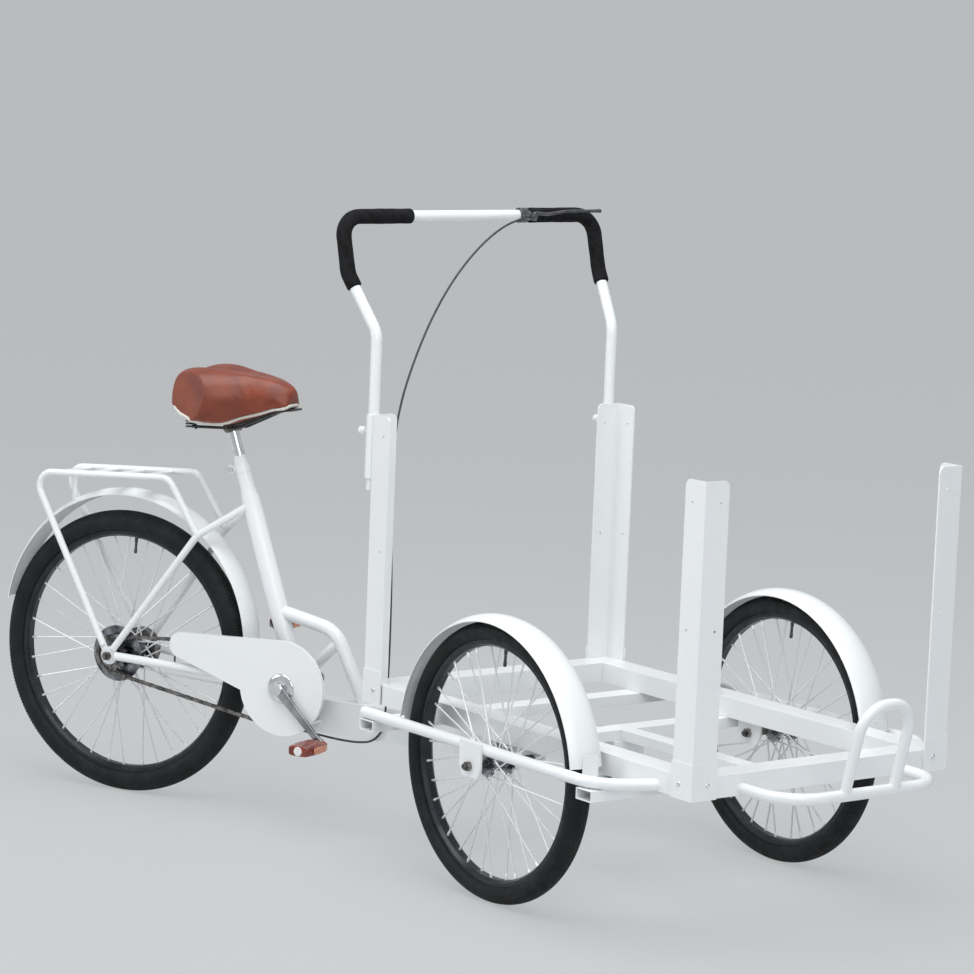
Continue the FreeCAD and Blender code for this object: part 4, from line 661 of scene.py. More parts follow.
def joined_mesh(node, sharp=None):
    """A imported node's loose triangles joined, and with an angle, its flats merged and its edges marked."""
    mesh = frame["nodes"][node].data.copy()
    if "custom_normal" in mesh.attributes:
        mesh.attributes.remove(mesh.attributes["custom_normal"])
    work = bmesh.new()
    work.from_mesh(mesh)
    bmesh.ops.remove_doubles(work, verts=work.verts, dist=JOIN_DISTANCE)
    if sharp:
        bmesh.ops.dissolve_limit(work, angle_limit=FLAT_ANGLE, verts=work.verts, edges=work.edges)
        mark_sharp(work, sharp)
    work.to_mesh(mesh)
    work.free()
    return mesh


def finished_copy(node, edge):
    """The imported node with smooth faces, its finish, and with an edge radius, rounded cut edges."""
    piece = keep_piece(node + "_finished", joined_mesh(node, CAD_SHARP), frame["nodes"][node]["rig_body"],
                       NODE_SLOT[node], [node], NODE_FINISH.get(node))
    if edge:
        rounding = piece.modifiers.new("rounded_edges", "BEVEL")
        rounding.width = edge
        rounding.segments = 2
        rounding.limit_method = "ANGLE"
        rounding.angle_limit = CAD_SHARP
        rounding.harden_normals = True


class TRIKE_OT_stage(bpy.types.Operator):
    """Camera, floor, lamps and world of the studio"""
    bl_idname = "trike.stage"
    bl_label = "Studio and camera"

    def execute(self, context):
        settings = context.scene.trike_stage
        self.add_camera(context)
        self.add_floor(context, settings)
        self.add_lamps(context, settings)
        self.add_world(context, settings)
        context.scene.view_settings.view_transform = "Standard"
        return {"FINISHED"}

    def add_camera(self, context):
        """Forward from yaw and pitch, and its level right and upright turned about it by the roll."""
        camera = bpy.data.objects.new("photo_camera", bpy.data.cameras.new("photo_camera"))
        context.scene.collection.objects.link(camera)
        forward = Vector((math.cos(CAMERA_YAW) * math.cos(CAMERA_PITCH),
                          math.sin(CAMERA_YAW) * math.cos(CAMERA_PITCH), math.sin(CAMERA_PITCH)))
        level = Vector((math.sin(CAMERA_YAW), -math.cos(CAMERA_YAW), 0))
        upright = level.cross(forward)
        right = math.cos(CAMERA_ROLL) * level + math.sin(CAMERA_ROLL) * upright
        up = -math.sin(CAMERA_ROLL) * level + math.cos(CAMERA_ROLL) * upright
        turn = Matrix((right, up, -forward)).transposed().to_4x4()
        camera.matrix_world = Matrix.Translation(CAMERA_PLACE) @ turn
        camera.data.sensor_width = SENSOR_WIDTH
        camera.data.lens = CAMERA_LENS
        camera.data.clip_end = CAMERA_REACH
        context.scene.camera = camera

    def add_floor(self, context, settings):
        """A wide plane, seen as part shading, which keeps the shadow, and part the backdrop's tone."""
        mesh = bpy.data.meshes.new("studio_floor")
        corners = [(-1, -1), (1, -1), (1, 1), (-1, 1)]
        mesh.from_pydata([(x * FLOOR_HALF, y * FLOOR_HALF, 0) for x, y in corners], [], [(0, 1, 2, 3)])
        floor = bpy.data.objects.new("studio_floor", mesh)
        context.scene.collection.objects.link(floor)
        look = Finish("studio_floor", {"Base Color": (*settings.floor, 1)})
        look.sheen(Noise(3.0), *FLOOR_ROUGHNESS)
        glow = look.add("ShaderNodeEmission", Color=(*settings.backdrop, 1))
        mix = look.add("ShaderNodeMixShader")
        share = look.add("ShaderNodeMath")
        share.operation = "MULTIPLY"
        share.inputs[1].default_value = settings.backdrop_share
        links = look.tree.links
        links.new(self.seen_rays(look), share.inputs[0])
        links.new(share.outputs["Value"], mix.inputs["Fac"])
        links.new(look.shader.outputs["BSDF"], mix.inputs[1])
        links.new(glow.outputs["Emission"], mix.inputs[2])
        links.new(mix.outputs["Shader"], look.tree.nodes["Material Output"].inputs["Surface"])
        mesh.materials.append(look.material)

    def seen_rays(self, look):
        """One where the ray comes from the camera or a mirror reflection, nought elsewhere."""
        path = look.add("ShaderNodeLightPath")
        total = look.add("ShaderNodeMath")
        total.operation = "MAXIMUM"
        look.tree.links.new(path.outputs["Is Camera Ray"], total.inputs[0])
        look.tree.links.new(path.outputs["Is Glossy Ray"], total.inputs[1])
        return total.outputs["Value"]

    def add_lamps(self, context, settings):
        """Square lamps, each turned from its place to its aim."""
        for name, place, aim, size, share in LAMPS:
            lamp = bpy.data.lights.new(name, "AREA")
            lamp.shape = "SQUARE"
            lamp.size = size
            lamp.energy = settings.key_power * share
            holder = bpy.data.objects.new(name, lamp)
            context.scene.collection.objects.link(holder)
            holder.location = place
            holder.rotation_mode = "QUATERNION"
            holder.rotation_quaternion = (Vector(aim) - Vector(place)).to_track_quat("-Z", "Y")

    def add_world(self, context, settings):
        """Soft light from all round, and the backdrop's tone where the camera looks past the floor."""
        world = bpy.data.worlds.new("studio_air")
        world.use_nodes = True
        tree = world.node_tree
        soft = tree.nodes["Background"]
        soft.inputs["Color"].default_value = (*AIR_COLOUR, 1)
        soft.inputs["Strength"].default_value = AIR_LIGHT
        seen = tree.nodes.new("ShaderNodeBackground")
        seen.inputs["Color"].default_value = (*settings.backdrop, 1)
        seen.inputs["Strength"].default_value = AIR_SEEN
        mix = tree.nodes.new("ShaderNodeMixShader")
        path = tree.nodes.new("ShaderNodeLightPath")
        tree.links.new(path.outputs["Is Camera Ray"], mix.inputs["Fac"])
        tree.links.new(soft.outputs["Background"], mix.inputs[1])
        tree.links.new(seen.outputs["Background"], mix.inputs[2])
        tree.links.new(mix.outputs["Shader"], tree.nodes["World Output"].inputs["Surface"])
        context.scene.world = world


class TRIKE_OT_tyres(bpy.types.Operator):
    """Tyres with ribbed shoulders"""
    bl_idname = "trike.tyres"
    bl_label = "Tyres"

    def execute(self, context):
        settings = context.scene.trike_wheels
        for wheel, sizes in WHEEL_SIZES.items():
            self.add_tyre(wheel, sizes, settings)
        return {"FINISHED"}

    def add_tyre(self, wheel, sizes, settings):
        """Section of two quarter ellipses a side, turned about the axle, with ribs cut along its shoulder."""
        body = wheel + "_wheel"
        edge = sizes["bead"] + RIM_FLANGE
        wall = TYRE_WIDEST_SHARE * (sizes["tyre"] - edge)
        widest = edge + wall
        upper = [np.linspace(*stretch) for stretch in TYRE_STRETCHES]
        upper = np.radians(np.concatenate(upper))
        lower = np.radians(np.linspace(90, 0, 7))
        radius = widest + np.concatenate([-wall * np.sin(lower), (sizes["tyre"] - widest) * np.sin(upper)])
        along = np.concatenate([BEAD_HALF + (TYRE_HALF - BEAD_HALF) * np.cos(lower),
                                TYRE_HALF * np.cos(upper)])
        mark = np.concatenate([np.zeros_like(lower), np.degrees(upper)])
        radius = np.concatenate([radius, radius[-2::-1]])
        along = np.concatenate([along, -along[-2::-1]])
        mark = np.concatenate([mark, mark[-2::-1]])
        shoulder = (mark > TYRE_SHOULDER[0]) & (mark < TYRE_SHOULDER[1])
        groove = (mark > TYRE_GROOVE[0]) & (mark < TYRE_GROOVE[1])
        ribs = int(TURN * sizes["tyre"] * MM / settings.rib_pitch)
        off_rib = np.arange(ribs * 4)[:, None] % 4 >= 2
        drop = settings.rib_depth / MM * ((shoulder & off_rib) | groove)
        along = along * (1 - drop / TYRE_CENTRE_DEPTH)
        points = about_axle(body, radius - drop, along, circle(ribs * 4)[:, None])
        faces = grid_faces(*points.shape[:2], close_rows=True)
        mesh = bpy.data.meshes.new(wheel + "_tyre_ribbed")
        mesh.from_pydata(points.reshape(-1, 3).tolist(), [], faces.tolist())
        keep_piece(mesh.name, mesh, body, "tyre", [wheel + "_tyre"])


class TRIKE_OT_wheel_fittings(bpy.types.Operator):
    """Laced spokes, their nipples and the valve stems"""
    bl_idname = "trike.wheel_fittings"
    bl_label = "Spokes, nipples and valves"

    def execute(self, context):
        for wheel, sizes in WHEEL_SIZES.items():
            self.add_spokes(wheel, sizes)
            self.add_valve(wheel, sizes)
        return {"FINISHED"}

    def add_spokes(self, wheel, sizes):
        """Round wires from the rim's seats to the hub's holes, each with a six-sided taper at its rim end."""
        body = wheel + "_wheel"
        step = TURN / SPOKES_PER_SIDE
        index = np.arange(SPOKES_PER_SIDE)
        side = np.array((1, -1))[:, None]
        hole = index * step + np.where(side < 0, step / 2, 0.0)
        seat = hole + np.where(index % 2 == 0, 1, -1) * SPOKE_CROSSES * step
        seats = about_axle(body, sizes["bead"] - RIM_WELL, side * SPOKE_OFFSET, seat).reshape(-1, 3)
        feet = about_axle(body, sizes["flange"] - SPOKE_HOLE_INSET, side * sizes["spacing"] / 2, hole)
        feet = feet.reshape(-1, 3)
        run = unit(feet - seats)
        axle = wheel_place(body)[2]
        radii, reach = MM * np.array(NIPPLE_OUTLINE, float).T
        grid = needle_rows(seats, run, axle, radii, reach[None], 6)
        shell_piece(wheel + "_nipples", [grid], body, "spoke_steel")
        radii, reach = np.array(SPOKE_OUTLINE, float).T
        length = np.linalg.norm(feet - seats, axis=1)[:, None]
        grid = needle_rows(seats, run, axle, MM * SPOKE_SHOWN_RADIUS * radii, length * reach, 8)
        shell_piece(wheel + "_laced_spokes", [grid], body, "spoke_steel", [wheel + "_spokes"])

    def add_valve(self, wheel, sizes):
        """A stem turned about the line from the rim's well towards the axle."""
        body = wheel + "_wheel"
        centre, ahead, _, up = wheel_place(body)
        out = math.cos(VALVE_TURN) * ahead + math.sin(VALVE_TURN) * up
        base = centre / MM + out * (sizes["bead"] - RIM_WELL - 1)
        shell_piece(wheel + "_valve", [turned_rows(base, -out, VALVE_OUTLINE, 14) * MM], body, "black_lever")


class TRIKE_OT_fasteners(bpy.types.Operator):
    """Domed bolts of the corner sleeves"""
    bl_idname = "trike.fasteners"
    bl_label = "Bolts"

    def execute(self, context):
        grids = []
        for end, face in SLEEVE_ENDS:
            for side in (1, -1):
                on_end = (face, side * (SLEEVE_SIDE - BOLT_INSET), BOLT_HEIGHT)
                on_side = (face - end * BOLT_INSET, side * SLEEVE_SIDE, BOLT_HEIGHT)
                grids.append(turned_rows(on_end, (end, 0, 0), BOLT_OUTLINE, 18))
                grids.append(turned_rows(on_side, (0, side, 0), BOLT_OUTLINE, 18))
        platform_piece("sleeve_bolts", grids, "steel", finish="chrome")
        return {"FINISHED"}


class TRIKE_OT_handlebar(bpy.types.Operator):
    """Foam grips, and the brake lever with its clamp, pivot and blade"""
    bl_idname = "trike.handlebar"
    bl_label = "Grips and lever"

    def execute(self, context):
        self.add_grips()
        self.add_lever()
        return {"FINISHED"}

    def add_grips(self):
        """A sleeve about the bar from below its elbow to the inner end, with pressed-in, softly wavy foam."""
        grids = []
        for side in (1, -1):
            corners = np.array(BAR_HALF) * (1, side, 1) + (BAR_LINE, 0, 0)
            line = even_line(rounded_line(corners, BAR_BENDS, 14), BAR_STEP)
            line = line[(line[:, 2] > GRIP_LOW) & (np.abs(line[:, 1]) > GRIP_INNER)]
            length = BAR_STEP * len(line)
            share = np.linspace(0, 1, len(line))
            (high, long), (low, short) = GRIP_WAVES
            wave = high * np.sin(share * length / long + side) + low * np.sin(share * length / short)
            lip = np.clip(np.minimum(share, 1 - share) * length / GRIP_LIP, 0, 1)
            foam = (GRIP_RADIUS - BAR_RADIUS) * np.sqrt(1 - (1 - lip) ** 2) + wave * lip
            outside = tube_rows(line, BAR_RADIUS + 0.2 + foam, 28, (1, 0.12, 0))
            inside = tube_rows(line, BAR_RADIUS + 0.1, 28, (1, 0.12, 0))[::-1]
            grids.append(np.concatenate([outside, inside]))
        platform_piece("foam_grips", grids, "grip_foam", replaces=["grips"], close_rows=True)

    def add_lever(self):
        """Clamp turned about the bar, lug and blade as flattened tubes, pivot and barrel as turned pieces."""
        middle = np.array((BAR_LINE + BAR_HALF[-1][0], LEVER_LINE, BAR_HALF[-1][2]))
        clamp = turned_rows(middle, (0, 1, 0), CLAMP_OUTLINE, 32)
        platform_piece("lever_clamp", [clamp], "black_lever", close_rows=True)
        lug, lug_radius = round_ends(even_line(middle + LUG_LINE, BAR_STEP), LUG_RADIUS)
        line = even_line(rounded_line(middle + BLADE_LINE, BLADE_BENDS, 8), BAR_STEP)
        share = np.linspace(0, 1, len(line))
        widths = BLADE_HALF - BLADE_WAIST * np.sin(share * math.pi) ** 2
        widths += BLADE_KNOB * np.exp(-((share - 0.97) / 0.04) ** 2)
        blade, blade_radius = round_ends(line, widths)
        grids = [tube_rows(lug, lug_radius, 20, flatness=LUG_FLATNESS),
                 tube_rows(blade, blade_radius, 16, flatness=BLADE_FLATNESS),
                 turned_rows(middle + BARREL_PLACE, (0, -1, 0), BARREL_OUTLINE, 14)]
        platform_piece("lever_body_and_blade", grids, "black_lever", replaces=["brake_lever"])
        pivot = turned_rows(middle + PIVOT_PLACE, (0, 0, 1), PIVOT_OUTLINE, 18)
        platform_piece("lever_pivot", [pivot], "hub_metal")


class TRIKE_OT_saddle(bpy.types.Operator):
    """Padded saddle, its welt, and the wire frame with coil springs under it"""
    bl_idname = "trike.saddle"
    bl_label = "Saddle"

    def execute(self, context):
        pad = self.add_pad(context)
        self.add_trim(pad)
        self.add_frame()
        return {"FINISHED"}

    def add_pad(self, context):
        """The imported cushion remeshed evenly, drawn in a little, swelled by cloth pressure and shaped."""
        settings = context.scene.trike_saddle
        mesh = joined_mesh("saddle_cushion")
        mesh.name = "saddle_pad"
        pad = bpy.data.objects.new("saddle_pad", mesh)
        context.scene.collection.objects.link(pad)
        remesh = pad.modifiers.new("remesh", "REMESH")
        remesh.mode = "VOXEL"
        remesh.voxel_size = settings.voxel
        self.apply(pad)
        normals = self.read(pad.data.vertex_normals, "vector")
        points = self.read(pad.data.vertices, "co") - normals * settings.draw_in
        self.move(pad, points)
        points = points + self.swelling(context, pad, points, settings.swell)
        self.move(pad, self.form(points))
        smooth = pad.modifiers.new("smooth", "SUBSURF")
        smooth.levels = smooth.render_levels = 1
        self.apply(pad)
        pad.data.polygons.foreach_set("use_smooth", np.ones(len(pad.data.polygons), bool))
        pad.data.materials.clear()
        pad.data.materials.append(finish_for("brown_cover"))
        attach(pad, "rider_frame")
        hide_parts("saddle_cushion")
        return pad

    def swelling(self, context, pad, points, most):
        """How far the cover moves under pressure from inside, no more than the given length."""
        cloth = pad.modifiers.new("cloth", "CLOTH")
        cloth.settings.use_pressure = True
        cloth.settings.uniform_pressure_force = CLOTH_PRESSURE
        cloth.settings.effector_weights.gravity = 0.0
        for number in range(1, CLOTH_FRAMES + 1):
            context.scene.frame_set(number)
        settled = pad.evaluated_get(context.evaluated_depsgraph_get()).data
        move = self.read(settled.vertices, "co") - points
        pad.modifiers.clear()
        context.scene.frame_set(1)
        size = np.linalg.norm(move, axis=1, keepdims=True)
        return move * np.minimum(1.0, most / np.maximum(size, 1e-9))

    def apply(self, piece):
        """The modifiers' result as the piece's own mesh."""
        mesh = bpy.data.meshes.new_from_object(piece.evaluated_get(bpy.context.evaluated_depsgraph_get()))
        piece.modifiers.clear()
        piece.data = mesh
        mesh.name = piece.name

    def read(self, rows, name):
        """A vector for each row, as one array."""
        values = np.empty(len(rows) * 3, np.float32)
        rows.foreach_get(name, values)
        return values.reshape(-1, 3).astype(float)

    def move(self, piece, points):
        """The piece's points put at the given ones."""
        piece.data.vertices.foreach_set("co", points.astype(np.float32).ravel())
        piece.data.update()

    def section(self, share, column):
        """A column of the sections at a share of the length, on straight lines between its rows."""
        return np.interp(share, SADDLE_SECTIONS[:, 0], SADDLE_SECTIONS[:, column])

    def form(self, points):
        """Squarer arches with a dished middle, and an oblique flat at each rear corner."""
        cosine, sine = math.cos(PARKED_STEERING), math.sin(PARKED_STEERING)
        ahead = points[:, 0] / MM - PART_SHIFT[0] + KINGPIN_SETBACK
        across = points[:, 1] / MM - PART_SHIFT[1]
        along = ahead * cosine + across * sine
        side = across * cosine - ahead * sine
        height = points[:, 2] / MM
        share = np.clip((along - SADDLE_NOSE + SADDLE_LENGTH) / SADDLE_LENGTH, 0, 1)
        crown = SADDLE_BOTTOM + SADDLE_DEPTH * np.interp(share, SADDLE_SECTIONS[:, 0], SADDLE_CROWNS)
        low = SADDLE_BOTTOM + SADDLE_DEPTH * self.section(share, 2)
        wide = np.abs(side) / (SADDLE_HALF * self.section(share, 1))
        tall = np.clip((height - low) / (crown - low), 0, 1.1)
        round_size = np.sqrt(wide ** 2 + tall ** 2)
        square_size = (wide ** ARCH_POWER + tall ** ARCH_POWER) ** (1 / ARCH_POWER)
        grow = np.clip(round_size / np.maximum(square_size, 1e-6) - 1, 0, ARCH_SHARE)
        grow = grow * np.clip(round_size * 2 - 1, 0, 1) * (tall > 0.05)
        lift = np.clip(grow * (height - low), 0, ARCH_LIFT)
        side = side + np.sign(side) * np.clip(grow * np.abs(side) * 0.6, 0, ARCH_SPREAD)
        rear = np.clip((0.62 - share) / 0.3, 0, 1) * (tall > 0.5)
        height = height + lift - DISH_DEPTH * rear * np.exp(-(side / DISH_WIDTH) ** 2)
        flat = np.array(REAR_CORNER)
        press = flat[0] * along + flat[1] * np.abs(side) + flat[2] * height - REAR_CORNER_DISTANCE
        press = np.maximum(press, 0)
        along = along - press * flat[0]
        side = side - np.sign(side) * press * flat[1]
        height = height - press * flat[2]
        return rider_place(np.stack([along, side, height], axis=1))

    def outline(self, lift):
        """The underside's edge raised by a lift: out along one side and back on the other."""
        share = np.linspace(0, 1, 60)
        under = np.exp(-((share - PAD_SAG_PLACE) / PAD_SAG_LENGTH) ** 4)
        half = SADDLE_HALF * self.section(share, 1) * PAD_EDGE_SHARE * (1 - 0.12 * under)
        low = SADDLE_BOTTOM + SADDLE_DEPTH * self.section(share, 2) + lift - PAD_SAG * under
        one = np.stack([SADDLE_NOSE - SADDLE_LENGTH * (1 - share), half, low], axis=1)
        return np.concatenate([one, (one * (1, -1, 1))[::-1]])

    def add_trim(self, pad):
        """A flat welt that follows the pad's lower edge, set on its surface."""
        tree = BVHTree.FromObject(pad, bpy.context.evaluated_depsgraph_get())
        edge = self.outline(4.0)
        line = rider_place(even_line(np.concatenate([edge, edge[:1]]), WELT_STEP))[:-1]
        on_skin = np.array([tree.find_nearest(Vector(point))[0] for point in line])
        soft = np.mean([np.roll(on_skin, step, axis=0) for step in range(-3, 4)], axis=0)
        run = unit(np.roll(soft, -1, axis=0) - np.roll(soft, 1, axis=0))
        out = unit(np.cross(run, (0, 0, 1)))
        out *= np.sign(np.sum(out * unit(soft - soft.mean(axis=0)), axis=1))[:, None]
        up = np.cross(out, run)
        angle = circle(12)[None, :, None]
        wide, tall = WELT_HALVES
        grid = soft[:, None] + MM * (wide * np.cos(angle) * out[:, None] + tall * np.sin(angle) * up[:, None])
        shell_piece("saddle_trim", [grid], "rider_frame", "brown_cover", finish="saddle_trim",
                    close_rows=True)

    def add_frame(self):
        """Pan and wings as thin plates, two wire rails with coil springs, and the post's clamp."""
        wire = [self.plate(np.array(halves)) for halves in PLATE_HALVES]
        for side in (1, -1):
            corners = np.array(RAIL_HALF) * (1, side, 1)
            path, radius = round_ends(even_line(rounded_line(corners, (RAIL_BEND,), 8), 4.0), RAIL_RADIUS)
            wire.append(tube_rows(path, radius, 12))
            turn = np.linspace(0, TURN * SPRING_TURNS, 110)
            coil = np.stack([SPRING_PLACE[0] + SPRING_RADIUS * np.cos(turn),
                             side * SPRING_PLACE[1] + SPRING_RADIUS * np.sin(turn),
                             RAIL_HEIGHT - SPRING_DROP + turn / TURN * SPRING_PITCH], axis=1)
            path, radius = round_ends(coil, SPRING_WIRE, 3)
            wire.append(tube_rows(path, radius, 8))
        rider_piece("saddle_wire_frame", wire, "black_wire", replaces=["saddle_frame"])
        centre = (SEAT_POST[0], 0, RAIL_HEIGHT)
        clamp = [turned_rows(centre, (0, 1, 0), POST_CLAMP_OUTLINE, 24),
                 turned_rows(centre, (0, 1, 0), POST_NUT_OUTLINE, 6)]
        rider_piece("saddle_clamp", clamp, "black_wire", finish="steel")

    def plate(self, halves):
        """A thin plate that follows the underside, as wide as its half widths from the rear on."""
        sections = SADDLE_SECTIONS[:len(halves)]
        along = SADDLE_NOSE - SADDLE_LENGTH * (1 - sections[:, 0]) + 4.0
        low = SADDLE_BOTTOM + SADDLE_DEPTH * sections[:, 2] - PLATE_DROP
        line = np.stack([along, np.zeros(len(halves)), low], axis=1)
        widen = np.stack([np.ones(len(halves)), halves, np.ones(len(halves))], axis=1)
        body = line[:, None] + np.array(PLATE_SECTION) * widen[:, None]
        ends = np.repeat(body[[0, -1]].mean(axis=1, keepdims=True), 4, axis=1)
        return np.concatenate([ends[:1], body, ends[1:]])


def crank_way(side):
    """Direction of the crank arm on a side, where the right arm, side minus one, has the crank's angle."""
    turn = CRANK_ANGLE + (0 if side < 0 else math.pi)
    return np.array((math.cos(turn), 0, math.sin(turn)))


class TRIKE_OT_pedals(bpy.types.Operator):
    """Rounded pedal blocks with reflectors and end caps"""
    bl_idname = "trike.pedals"
    bl_label = "Pedals"

    def execute(self, context):
        for name, side in (("right_pedal", -1), ("left_pedal", 1)):
            self.add_block(name, side)
            self.add_fittings(name, side)
        return {"FINISHED"}

    def eye(self, side):
        """The crank's eye on a side, on the crank's own plane."""
        return np.array((CRANK_AXIS[0], 0, CRANK_AXIS[1])) + CRANK_LENGTH * crank_way(side)

    def add_block(self, name, side):
        """Superellipse sections carried along the spindle: fuller in the middle, rounded in at both ends."""
        ends = np.linspace(0, 1, 25) ** 0.8 * 0.06
        share = np.concatenate([[0, 0], ends, np.linspace(0.08, 0.92, 22), 1 - ends[::-1], [1, 1]])
        reach = np.minimum(share, 1 - share)
        end = np.sqrt(1 - (1 - np.clip(reach / 0.06, 0, 1)) ** 2)
        half_width = PEDAL_WIDTH / 2 * (0.8 + 0.2 * np.sin(math.pi * share)) * (0.82 + 0.18 * end)
        ribs = 1 - 0.05 * (np.cos(share * PEDAL_LENGTH * TURN / PEDAL_RIB_PITCH) > 0.3) * (reach > 0.1)
        half_height = PEDAL_HEIGHT / 2 * (0.8 + 0.2 * end) * ribs
        half_width[[0, -1]] = 0
        half_height[[0, -1]] = 0
        across, upward = squared_circle(40, 2 / 4.5)
        ahead, _, height = self.eye(side)
        grid = np.stack(np.broadcast_arrays(
            ahead + half_width[:, None] * across,
            side * (PEDAL_INNER + (PEDAL_LENGTH - PEDAL_CAP_ROOM) * share)[:, None],
            height + half_height[:, None] * upward), axis=-1)
        rider_piece(name + "_block", [grid], "brown_pedal", body=name, replaces=[name])

    def add_fittings(self, name, side):
        """A pressed plate on the block's front and back, and a turned cap at each of its ends."""
        wide, tall = squared_circle(32, 0.35)
        outline = np.stack([np.zeros(32), wide * REFLECTOR_HALVES[0], tall * REFLECTOR_HALVES[1]], axis=1)
        plates = []
        for face in (1, -1):
            middle = self.eye(side) + (face * (PEDAL_WIDTH / 2 - REFLECTOR_SINK),
                                       side * (PEDAL_INNER + PEDAL_LENGTH * REFLECTOR_PLACE), 0)
            rows = [size * outline + (face * depth * REFLECTOR_DEPTH, 0, 0)
                    for size, depth in REFLECTOR_SECTION]
            plates.append(middle + np.array(rows))
        rider_piece(name + "_reflectors", plates, "brown_pedal", body=name, finish="amber_reflector")
        outer = self.eye(side) + (0, side * (PEDAL_INNER + PEDAL_LENGTH - PEDAL_CAP_ROOM), 0)
        inner = self.eye(side) + (0, side * (PEDAL_INNER + 1.8), 0)
        caps = [turned_rows(outer, (0, side, 0), PEDAL_CAP_OUTLINE, 28),
                turned_rows(inner, (0, -side, 0), PEDAL_COLLAR_OUTLINE, 24)]
        rider_piece(name + "_caps", caps, "brown_pedal", body=name, finish="white_cap")


class TRIKE_OT_cranks(bpy.types.Operator):
    """Tapered crank arms, and the chrome dome in front of the chain guard"""
    bl_idname = "trike.cranks"
    bl_label = "Cranks"

    def execute(self, context):
        axis = np.array((CRANK_AXIS[0], 0, CRANK_AXIS[1]))
        out = np.array((0, -1, 0))
        arms = [self.arm_rows(axis, side) for side in (-1, 1)]
        domes = [turned_rows(axis + DOME_LINE * out, out, DOME_OUTLINE, 48)]
        for side in (-1, 1):
            cap = axis + (0, side * CAP_LINE, 0)
            domes.append(turned_rows(cap, (0, side, 0), CAP_OUTLINE, 32))
            domes.append(turned_rows(cap + CRANK_LENGTH * crank_way(side), (0, side, 0), SPINDLE_OUTLINE, 6))
        rider_piece("crank_arms_shaped", arms, "chrome", body="crank_set", replaces=["crank_arms"],
                    finish="polished_crank")
        rider_piece("crank_domes", domes, "chrome", body="crank_set")
        return {"FINISHED"}

    def arm_rows(self, axis, side):
        """Rounded-rectangle sections from the crank's boss to the pedal's eye, drawn in between."""
        way = crank_way(side)
        share = np.concatenate([[0, 0], np.linspace(0, 1, 44), [1, 1]])
        reach = -ARM_BOSS + share * (CRANK_LENGTH + ARM_BOSS + ARM_EYE)
        boss = np.sqrt(np.clip(1 - (np.clip(reach, -ARM_BOSS, 0) / (ARM_BOSS + 0.6)) ** 2, 0, 1))
        eye = np.sqrt(np.clip(1 - (np.clip(reach - CRANK_LENGTH, 0, ARM_EYE) / (ARM_EYE + 0.4)) ** 2, 0, 1))
        middle = np.clip(reach / CRANK_LENGTH, 0, 1)
        half = ARM_BOSS - ARM_WAIST * np.sin(middle * math.pi / 2) ** 0.6
        half = (half + ARM_EYE_SWELL * np.exp(-((middle - 1) / 0.05) ** 2)) * boss * eye
        thick = (ARM_HALF_THICKNESS - np.sin(middle * math.pi)) * np.minimum(1, 4 * boss * eye)
        half[[0, -1]] = 0
        thick[[0, -1]] = 0
        across, upward = squared_circle(24, 0.45)
        square = np.array((-way[2], 0, way[0]))
        return (axis + (0, side * ARM_LINE, 0) + reach[:, None, None] * way
                + half[:, None, None] * across[None, :, None] * square
                + (thick[:, None] * upward[None])[..., None] * np.array((0, side, 0)))


class TRIKE_OT_seat_collar(bpy.types.Operator):
    """Painted collar that narrows up the seat post, with its clamp ear and screw"""
    bl_idname = "trike.seat_collar"
    bl_label = "Seat collar"

    def execute(self, context):
        up = np.array((-math.sin(SEAT_TUBE_LEAN), 0, math.cos(SEAT_TUBE_LEAN)))
        lug = SEAT_TUBE_TOP + EAR_OFFSET
        collar = turned_rows(SEAT_TUBE_TOP - up * COLLAR_OVERLAP, up, COLLAR_OUTLINE, 40)
        ear = turned_rows(lug, (0, 1, 0), EAR_OUTLINE, 20)
        rider_piece("seat_collar", [collar, ear], "white_paint", close_rows=True)
        screw = turned_rows(lug, (0, 1, 0), EAR_SCREW_OUTLINE, 12)
        rider_piece("seat_clamp_screw", [screw], "chrome")
        return {"FINISHED"}


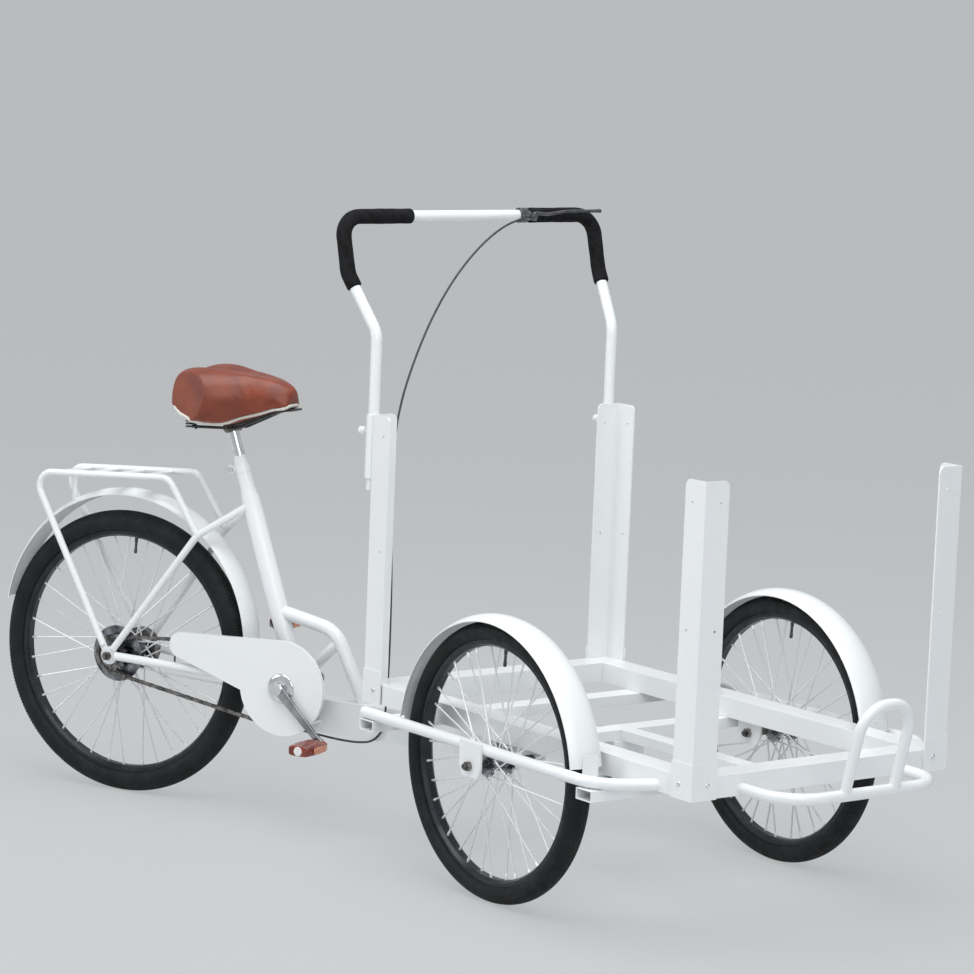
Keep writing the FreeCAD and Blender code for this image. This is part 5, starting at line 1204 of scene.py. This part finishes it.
class TRIKE_OT_chain(bpy.types.Operator):
    """Roller chain of alternate inner and outer links"""
    bl_idname = "trike.chain"
    bl_label = "Chain"

    def execute(self, context):
        place, run, out = self.stations()
        roller = turned_rows((0, 0, 0), (0, 0, 1), ROLLER_OUTLINE, 8)
        shapes = [self.carry(roller, place, run, out)]
        middle = (place + np.roll(place, -1, axis=0)) / 2
        chord = unit(np.roll(place, -1, axis=0) - place)
        side = np.stack([chord[:, 1], -chord[:, 0]], axis=1)
        for start, level in enumerate(LINK_LEVELS):
            for plate in (self.plate(level), self.plate(-level)):
                shapes.append(self.carry(plate, middle[start::2], chord[start::2], side[start::2]))
        rider_piece("roller_chain", shapes, "steel", replaces=["chain"])
        return {"FINISHED"}

    def stations(self):
        """Even places along two arcs and the two straight runs that touch them, ahead first."""
        crank, axle = np.array(CRANK_AXIS), np.array(REAR_AXLE)
        large, small = CHAIN_RADII
        back = axle - crank
        lean = math.atan2(back[1], back[0])
        spread = math.acos((large - small) / np.linalg.norm(back))
        loop = np.concatenate([self.arc(crank, large, lean + spread, lean - spread + TURN, 400),
                               self.arc(axle, small, lean - spread, lean + spread, 200)])
        loop = np.concatenate([loop, loop[:1]])
        along = distances(loop)
        links = 2 * int(round(along[-1] / CHAIN_PITCH / 2))
        where = np.linspace(0, along[-1], links, endpoint=False)
        place = np.stack([np.interp(where, along, loop[:, axis]) for axis in range(2)], axis=1)
        run = unit(np.roll(place, -1, axis=0) - np.roll(place, 1, axis=0))
        return place, run, np.stack([run[:, 1], -run[:, 0]], axis=1)

    def arc(self, centre, radius, start, end, count):
        """Points round a centre from one angle to another."""
        angle = np.linspace(start, end, count)
        return centre + radius * np.stack([np.cos(angle), np.sin(angle)], axis=1)

    def plate(self, level):
        """Stadium outline with a drawn-in waist, given a thickness about its level."""
        angle = circle(12)
        lengthwise = CHAIN_PITCH / 2 * np.tanh(2.2 * np.cos(angle)) + 3.6 * np.cos(angle)
        crosswise = np.sin(angle) * LINK_HALF_HEIGHT
        edge = np.stack([lengthwise, crosswise, np.zeros(12)], axis=1)
        return np.array([size * edge + (0, 0, level + end * LINK_HALF_THICKNESS)
                         for size, end in ((0, -1), (1, -1), (1, 1), (0, 1))])

    def carry(self, shape, place, run, out):
        """A small shape set at every place, lengthwise along the run."""
        grid = (place[:, None, None, :] + shape[None, :, :, 0, None] * run[:, None, None, :]
                + shape[None, :, :, 1, None] * out[:, None, None, :])
        level = np.broadcast_to(CHAIN_LINE + shape[None, :, :, 2], grid.shape[:-1])
        return np.stack([grid[..., 0], level, grid[..., 1]], axis=-1)


class TRIKE_OT_paintwork(bpy.types.Operator):
    """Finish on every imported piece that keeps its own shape"""
    bl_idname = "trike.paintwork"
    bl_label = "Paintwork and metal"

    def execute(self, context):
        edge = context.scene.trike_paint.edge
        for node in sorted(frame["nodes"]):
            if node not in REPLACED and not node.endswith(REPLACED_ENDINGS):
                finished_copy(node, edge if node.endswith(CUT_EDGE_ENDINGS) else 0.0)
        return {"FINISHED"}


SETTINGS = {
    "trike_stage": StageSettings,
    "trike_paint": PaintSettings,
    "trike_wheels": WheelSettings,
    "trike_saddle": SaddleSettings,
}
STEPS = [
    TRIKE_OT_stage,
    TRIKE_OT_tyres,
    TRIKE_OT_wheel_fittings,
    TRIKE_OT_fasteners,
    TRIKE_OT_handlebar,
    TRIKE_OT_saddle,
    TRIKE_OT_pedals,
    TRIKE_OT_cranks,
    TRIKE_OT_seat_collar,
    TRIKE_OT_chain,
    TRIKE_OT_paintwork,
]


class TRIKE_PT_builder(bpy.types.Panel):
    """Settings and steps of the cargo tricycle"""
    bl_label = "Cargo tricycle"
    bl_space_type = "VIEW_3D"
    bl_region_type = "UI"
    bl_category = "Cargo tricycle"

    def draw(self, context):
        for name, group in SETTINGS.items():
            box = self.layout.box()
            for prop in group.__annotations__:
                box.prop(getattr(context.scene, name), prop)
        for step in STEPS:
            self.layout.operator(step.bl_idname)


def register():
    for group in SETTINGS.values():
        bpy.utils.register_class(group)
    for name, group in SETTINGS.items():
        setattr(bpy.types.Scene, name, PointerProperty(type=group))
    for step in STEPS + [TRIKE_PT_builder]:
        bpy.utils.register_class(step)


def unregister():
    for step in reversed(STEPS + [TRIKE_PT_builder]):
        bpy.utils.unregister_class(step)
    for name in SETTINGS:
        delattr(bpy.types.Scene, name)
    for group in SETTINGS.values():
        bpy.utils.unregister_class(group)


def main():
    register()
    bpy.ops.trike.stage()
    bpy.ops.trike.tyres()
    bpy.ops.trike.wheel_fittings()
    bpy.ops.trike.fasteners()
    bpy.ops.trike.handlebar()
    bpy.ops.trike.saddle()
    bpy.ops.trike.pedals()
    bpy.ops.trike.cranks()
    bpy.ops.trike.seat_collar()
    bpy.ops.trike.chain()
    bpy.ops.trike.paintwork()


if __name__ == "__main__":
    main()
